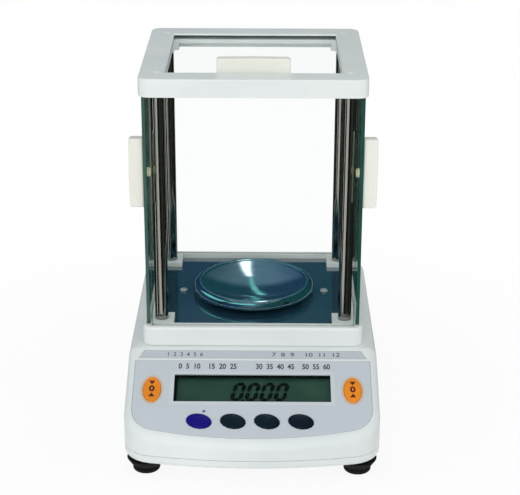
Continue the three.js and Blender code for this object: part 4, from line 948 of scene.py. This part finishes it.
# Draught shield frames: a base frame on the deck and an open top frame, both moulded in
# the case's plastic, with grooves for the glass. The top frame has a slot for the lid.
shield_white, shield_shade = (0.77, 0.81, 0.80), (0.71, 0.76, 0.755)
shield_gloss = 0.36
shield_finish = moulded("shield_white", shield_white, shield_shade, shield_gloss)
dressed("shield_base_frame", shield_finish)
dressed("shield_top_frame", shield_finish)


# Chamber floor: a steel plate with a polished coat that lies in the base frame. Its dark navy colour is
# painted reflection of the dark surroundings that the plate mirrors. It is thin, so it is a little wavy, and
# bends what it mirrors.
painted_reflection_dark, painted_reflection_pale = (0.012, 0.042, 0.070), (0.018, 0.055, 0.092)
floor_clouds, floor_wipes, floor_waves, floor_wave_depth = 7, 260, 14, 0.8 * mm
floor_edge = 0.3 * mm

# Its coat has long shallow waves, faint wiping marks and soft clouds between two navy tones of painted
# reflection.
mirror = Finish("dark_mirror", coat_weight=1.0, coat_roughness=0.03, coat_ior=2.4, specular_ior_level=0.6)
here = mirror.place()
clouds = mirror.between(mirror.noise(here, floor_clouds), 0.35, 0.65)
wiped = mirror.noise(mirror.place(stretch=(1, 0.15, 1)), floor_wipes, 3)
mirror.set(base_color=mirror.blend(clouds, painted_reflection_dark, painted_reflection_pale), roughness=0.08 + wiped * 0.08)
mirror.emboss(mirror.noise(here, floor_waves, 1), floor_wave_depth)
dressed("chamber_floor", mirror.material, edge=floor_edge, slot="floor_steel")


# Posts: four round bars of polished stainless steel between the two frames, each with a
# chamfer at its ends and a tapped hole for the screw that holds the top frame.
# The steel's low, slightly warm level is painted reflection of dark surroundings in the bar's mirror polish;
# the lines in it are the bar's own.
post_dark, post_bright = ((0.34 * level, 0.335 * level, 0.31 * level) for level in (0.94, 1.04))
post_lines, post_marks = 900, 90
post_chamfer = 0.6 * mm
post_bore, post_bore_depth = 2.3 * mm, 18 * mm
post_sides = 72

# Drawing leaves faint long lines on the bar, under a mirror polish.
post_steel = Finish("post_steel", metallic=1.0)
lines = post_steel.noise(post_steel.place(stretch=(1, 1, 0.003)), post_lines, 1)
marks = post_steel.noise(post_steel.place(stretch=(1, 1, 0.05)), post_marks, 3)
post_steel.set(base_color=post_steel.blend(lines, post_dark, post_bright), roughness=0.07 + marks * 0.05)
for corner in corners:
    node = f"post_{corner}"
    centre, radius, bottom, top = round_seat(node)
    post = turned(f"{node}_dressed", [
        (0, bottom + post_bore_depth), (post_bore, bottom + post_bore_depth), (post_bore, bottom),
        (radius - post_chamfer, bottom), (radius, bottom + post_chamfer), (radius, top - post_chamfer),
        (radius - post_chamfer, top), (post_bore, top), (post_bore, top - post_bore_depth),
        (0, top - post_bore_depth),
    ], centre, post_steel.material, sides=post_sides)
    seated(softened(post, 0), "steel", node)


# Glass: fixed panes in front and behind, a sliding door on each side and a sliding lid.
# It is 3 mm float glass with ground edges that look green.
glass_tint, door_tint = (0.996, 1.0, 0.998), (0.955, 0.993, 0.978)
glass_green = (0.006, 0.060, 0.042)
glass_edge, glass_edge_pale = (0.006, 0.050, 0.034), (0.02, 0.12, 0.085)
grinding_lines = 700
glass_bevel = 0.25 * mm
face_turn = 0.9


def lined(name, stretch, scale, low, high, roughness, spread, depth=0, **surface):
    """A finish with fine lines in its colour and its gloss, and in its relief if they are deep."""
    finish = Finish(name, **surface)
    lines = finish.noise(finish.place(stretch=stretch), scale)
    finish.set(base_color=finish.blend(lines, low, high), roughness=roughness + lines * spread)
    if depth:
        finish.emboss(lines, depth)
    return finish.material


def pane(node, thin_axis, face_finish, edge_finish):
    """A pane with clear faces and green edges."""
    made = piece(f"{node}_dressed", merged(node), face_finish, edge_finish)
    softened(made, glass_bevel, smooth=30, segments=1)
    for face in made.data.polygons:
        face.material_index = 0 if abs(face.normal[thin_axis]) > face_turn else 1
    seated(made, "clear_glass", node)


clear_face = glazed("clear_glass", glass_tint, glass_green, 0.998, 0.3)
lid_face = glazed("lid_glass", glass_tint, glass_green, 0.998, 0.08)
door_face = glazed("door_glass", door_tint, glass_green, 0.99, 1.25)
glass_rim = lined("glass_edge", (1, 1, 0.08), grinding_lines, glass_edge, glass_edge_pale, 0.18, 0.1,
                  specular_ior_level=0.6)
for node, thin_axis, face_finish in (
    ("front_glass", 1, clear_face), ("rear_glass", 1, clear_face), ("top_door_glass", 2, lid_face),
    ("left_door_glass", 0, door_face), ("right_door_glass", 0, door_face),
):
    pane(node, thin_axis, face_finish, glass_rim)


# Grips: cream-white moulded plates that stand out from the sliding glass. A stud on each
# passes through a hole in the glass into a round nut on its inner side.
grip_cream, grip_shade = (0.86, 0.87, 0.80), (0.81, 0.81, 0.73)
nut_cream, nut_shade = (0.86, 0.86, 0.60), (0.80, 0.78, 0.50)
grip_gloss, grip_edge, nut_edge = 0.4, 0.3 * mm, 0.2 * mm
grip_finish = moulded("grip_cream", grip_cream, grip_shade, grip_gloss)
nut_finish = moulded("nut_cream", nut_cream, nut_shade, grip_gloss)
for name in ("left", "right", "top"):
    dressed(f"{name}_door_grip", grip_finish, edge=grip_edge, smooth=32, slot="cream_plastic")
    dressed(f"{name}_grip_nut", nut_finish, edge=nut_edge, smooth=50, slot="cream_plastic")


# Weighing pan: a dish spun from thin stainless steel with a broad turned-down lip, which
# drops over the hub of its support. Spinning leaves fine rings all over it.
# Both steel tones carry a teal tint that is painted reflection of the surroundings; the rings between them
# are the spinning's own.
pan_steel_painted_teal, pan_ring_painted_teal = (0.46, 0.60, 0.64), (0.36, 0.50, 0.56)
pan_rings, pan_ring_depth, pan_bands = 1400, 0.003 * mm, 160
pan_sheet = 0.9 * mm
pan_flat, pan_wall = 1 * mm, 48.4 * mm
pan_depth, pan_curve, pan_under_curve = 9.4 * mm, 2.0, 0.96
pan_crown, pan_crown_rise, pan_crown_steps = 1.9 * mm, 0.9 * mm, 4
pan_fall, pan_fall_under, pan_fall_steps = 6.4 * mm, 6.4 * mm - 0.2 * mm, 14
pan_steps, pan_roll_steps, pan_sides = 28, 6, 160
spigot_inner, spigot_outer = 14 * mm, 15.4 * mm

pan_centre, pan_radius, pan_foot, pan_top = round_seat("weighing_pan")
dish_floor, wall_top = pan_top - pan_depth, pan_top - pan_crown_rise
dish, under_dish = [(0, dish_floor)], []
for step in range(pan_steps + 1):
    share = step / pan_steps
    radius = pan_flat + (pan_wall - pan_flat) * share
    rise = share ** pan_curve * (wall_top - dish_floor)
    dish.append((radius, dish_floor + rise))
    under_dish.append((radius + share * pan_sheet, dish_floor - pan_sheet + rise * pan_under_curve))
lip, under_lip = [], []
for step in range(1, pan_crown_steps + 1):
    angle = math.pi / 2 * step / pan_crown_steps
    lip.append((pan_wall + pan_crown * (1 - math.cos(angle)), wall_top + pan_crown_rise * math.sin(angle)))
lip_middle = pan_wall + pan_crown
lip_width = pan_radius - lip_middle
for step in range(1, pan_fall_steps + 1):
    angle = math.pi / 2 * step / pan_fall_steps
    across, fall = math.sin(angle), 1 - math.cos(angle)
    lip.append((lip_middle + lip_width * across, pan_top - pan_fall * fall))
    under_lip.append((
        lip_middle + (lip_width - pan_sheet) * across, pan_top - pan_sheet - pan_fall_under * fall))
rolled = rounded_corner(
    (pan_radius - pan_sheet / 2, under_lip[-1][1]), pan_sheet / 2, 0, -180, pan_roll_steps)
under = dish_floor - pan_sheet
spigot = [(spigot_outer, under), (spigot_outer, pan_foot), (spigot_inner, pan_foot), (spigot_inner, under),
          (0, under)]
pan_profile = dish + lip + rolled + under_lip[::-1] + under_dish[:0:-1] + spigot
spun = Finish("spun_steel", metallic=1.0, anisotropic=0.5)
across, along, _ = spun.axes(spun.place(centre=(*pan_centre, 0)))
out = spun.length(spun.node("ShaderNodeCombineXYZ", {"X": across, "Y": along}))
line = spun.node("ShaderNodeCombineXYZ", {"X": out})
bands = spun.noise(line, pan_bands)
spun.set(base_color=spun.blend(bands, pan_ring_painted_teal, pan_steel_painted_teal), roughness=0.06 + bands * 0.05)
spun.emboss(spun.noise(line, pan_rings), pan_ring_depth)
pan = turned("weighing_pan_dressed", pan_profile, pan_centre, spun.material, sides=pan_sides)
seated(softened(pan, 0, smooth=60), "steel", "weighing_pan")


# Level vial: a round glass vial with a bubble in green spirit, in the rear deck beside
# the shield. A black flange holds it and a ring on the glass marks the middle.
vial_green, vial_pale = (0.42, 0.56, 0.06), (0.50, 0.63, 0.10)
bubble_green, bubble_pale = (0.74, 0.83, 0.40), (0.80, 0.88, 0.50)
vial_black, vial_black_shade = (0.015, 0.015, 0.016), (0.02, 0.02, 0.02)
vial_neck, vial_flange, vial_round, vial_bevel = 7 * mm, 1.6 * mm, 0.5 * mm, 0.3 * mm
vial_glass_radius, vial_recess = 6.3 * mm, 0.9 * mm
vial_ring_radius, vial_ring_width = 2.6 * mm, 0.25 * mm
vial_ring_low, vial_ring_high = 0.42 * mm, 0.36 * mm
vial_bubble_radius = 1.9 * mm
glass_dome = ((1, 0.85 * mm), (0.8, 0.62 * mm), (0.5, 0.46 * mm), (0.2, 0.4 * mm), (0, 0.39 * mm))
bubble_dome = ((1, vial_ring_low), (0.8, 0.28 * mm), (0.4, 0.2 * mm), (0, 0.18 * mm))

centre, radius, bottom, top = round_seat("level_vial")
vial_holder = turned("vial_holder", [
    (0, bottom), (vial_neck, bottom), (vial_neck, top - vial_flange), (radius, top - vial_flange),
    *rounded_corner((radius - vial_round, top - vial_round), vial_round, 0, 90),
    (vial_glass_radius + vial_bevel, top), (vial_glass_radius, top - vial_bevel),
    (vial_glass_radius, top - vial_recess), (0, top - vial_recess),
], centre, moulded("vial_black", vial_black, vial_black_shade, 0.45))
spirit_finish = mottled("vial_spirit", 200, vial_green, vial_pale, roughness=0.08, coat_weight=1.0)
bubble_finish = mottled("vial_bubble", 600, bubble_green, bubble_pale, roughness=0.05, coat_weight=1.0)
vial_dome = turned("vial_dome", [
    (vial_glass_radius * share, top - depth) for share, depth in glass_dome], centre, spirit_finish)
vial_ring_core = vial_ring_radius - vial_ring_width
vial_ring = turned("vial_ring", [
    (vial_ring_radius, top - vial_ring_low), (vial_ring_radius, top - vial_ring_high),
    (vial_ring_core, top - vial_ring_high), (vial_ring_core, top - vial_ring_low),
], centre, figure_finish, closed=True)
vial_bubble = turned("vial_bubble", [
    (vial_bubble_radius * share, top - depth) for share, depth in bubble_dome], centre, bubble_finish)
vial = joined("level_vial_dressed", vial_holder, vial_dome, vial_ring, vial_bubble)
seated(softened(vial, 0, smooth=40), "vial_fluid", "level_vial")


# Rear sockets: a round power socket and a nine-pin data socket in a pocket of the rear
# wall. The data socket has a plated shell, a black insulator and two hexagon posts.
port_middle, jack_middle = Vector((0.030, 0.146, 0.0494)), Vector((0.064, 0.146, 0.0494))
port_rows = ((5, 1.55 * mm), (4, -1.55 * mm))
port_pitch, port_pin_reach, port_pin = 2.6 * mm, 0.6 * mm, (0.62 * mm, 3.4 * mm, 12)
hexagon_aside, hexagon_reach, hexagon = 12.9 * mm, 1.3 * mm, (2.4 * mm, 3.2 * mm, 6)
insulator_half, insulator_high, insulator_slant, insulator_reach = 8.1 * mm, 3.8 * mm, 1.5 * mm, 0.8 * mm
jack_pin_depth, jack_pin_size, jack_pin_edge = 6 * mm, (1.05 * mm, 6.4 * mm, 24), 0.2 * mm
plated, pin_gold = (0.72, 0.72, 0.70), (0.85, 0.62, 0.28)
socket_black, socket_shade = (0.014, 0.014, 0.015), (0.022, 0.022, 0.022)
socket_edge = 0.15 * mm


def contact_pins():
    """A straight pin on every point, standing along -Y out of the rear wall."""
    growth = Growth("contact_pins", {"Pin Radius": 0.5 * mm, "Pin Length": 3 * mm, "Sides": 12})
    size = growth.given
    bar = growth.rod(size["Sides"], size["Pin Radius"], size["Pin Length"])
    growth.spread(bar, size["Geometry"], growth.point(X=-math.pi / 2))
    return growth


def pins(name, places, size, finish):
    """Pins at places, each with the radius, the length and the sides in size."""
    radius, length, sides = size
    return grown(name, places, pin_growth, {
        "Pin Radius": radius, "Pin Length": length, "Sides": sides, "Finish": finish})


pin_growth = contact_pins()
plate_finish = brushed("socket_plate", plated, 0.28)
gold_finish = brushed("contact_gold", pin_gold, 0.25)
black_finish = moulded("socket_black", socket_black, socket_shade, 0.45)
dressed("serial_port", plate_finish, edge=socket_edge, slot="steel")
pin_places = [
    (port_middle.x + (step - (count - 1) / 2) * port_pitch, port_middle.y + port_pin_reach,
     port_middle.z + level) for count, level in port_rows for step in range(count)]
port_pins = pins("port_pins", pin_places, port_pin, gold_finish)
hexagon_places = [(port_middle.x + side * hexagon_aside, port_middle.y + hexagon_reach, port_middle.z)
                  for side in (-1, 1)]
port_nuts = pins("port_nuts", hexagon_places, hexagon, plate_finish)
work = bmesh.new()
insulator_top = insulator_half - insulator_slant
around = [(-insulator_top, insulator_high), (insulator_top, insulator_high),
          (insulator_half, -insulator_high), (-insulator_half, -insulator_high)]
work.faces.new([work.verts.new((port_middle.x - x, port_middle.y + insulator_reach, port_middle.z + z))
                for x, z in around])
bmesh.ops.recalc_face_normals(work, faces=work.faces)
insulator = piece("port_insulator", ended(work, "port_insulator"), black_finish)
contacts = joined("port_contacts", port_pins, port_nuts, insulator)
softened(contacts, 0, smooth=40)
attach(contacts, "housing")
dressed("power_jack", black_finish, edge=socket_edge, slot="black_plastic")
jack_place = (jack_middle.x, jack_middle.y - jack_pin_depth, jack_middle.z)
jack_pin = pins("jack_pin", [jack_place], jack_pin_size, gold_finish)
softened(jack_pin, jack_pin_edge, smooth=40)
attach(jack_pin, "housing")


# Working parts inside the case: a milled aluminium load cell on a cast plate, the bracket
# that carries the pan, and two green circuit boards.
aluminium = (0.72, 0.73, 0.74)
aluminium_dark = tuple(channel * 0.9 for channel in aluminium)
cutter_lines, cutter_depth = 900, 0.004 * mm
metal_edge, board_edge = 0.4 * mm, 0.1 * mm
board_green, board_track = (0.018, 0.11, 0.045), (0.03, 0.17, 0.07)
tracks_across, tracks_along = 900, 620

# The boards have green lacquer over straight copper tracks.
boards = Finish("solder_mask", coat_weight=0.3)
across, along, _ = boards.axes(boards.place())
tracks = boards.between(
    boards.maths("SINE", across * tracks_across) * boards.maths("SINE", along * tracks_along), 0.55, 0.75)
boards.set(base_color=boards.blend(tracks, board_green, board_track), roughness=0.35 + tracks * 0.08)
aluminium_finish = lined("milled_aluminium", (1, 0.05, 1), cutter_lines, aluminium_dark, aluminium, 0.3, 0.12,
                         cutter_depth, metallic=1.0)
for node in ("base_plate", "load_cell_spacer", "load_cell", "pan_support"):
    dressed(node, aluminium_finish, edge=metal_edge, slot="aluminium")
for node in ("main_board", "display_board"):
    dressed(node, boards.material, edge=board_edge, slot="circuit_board")
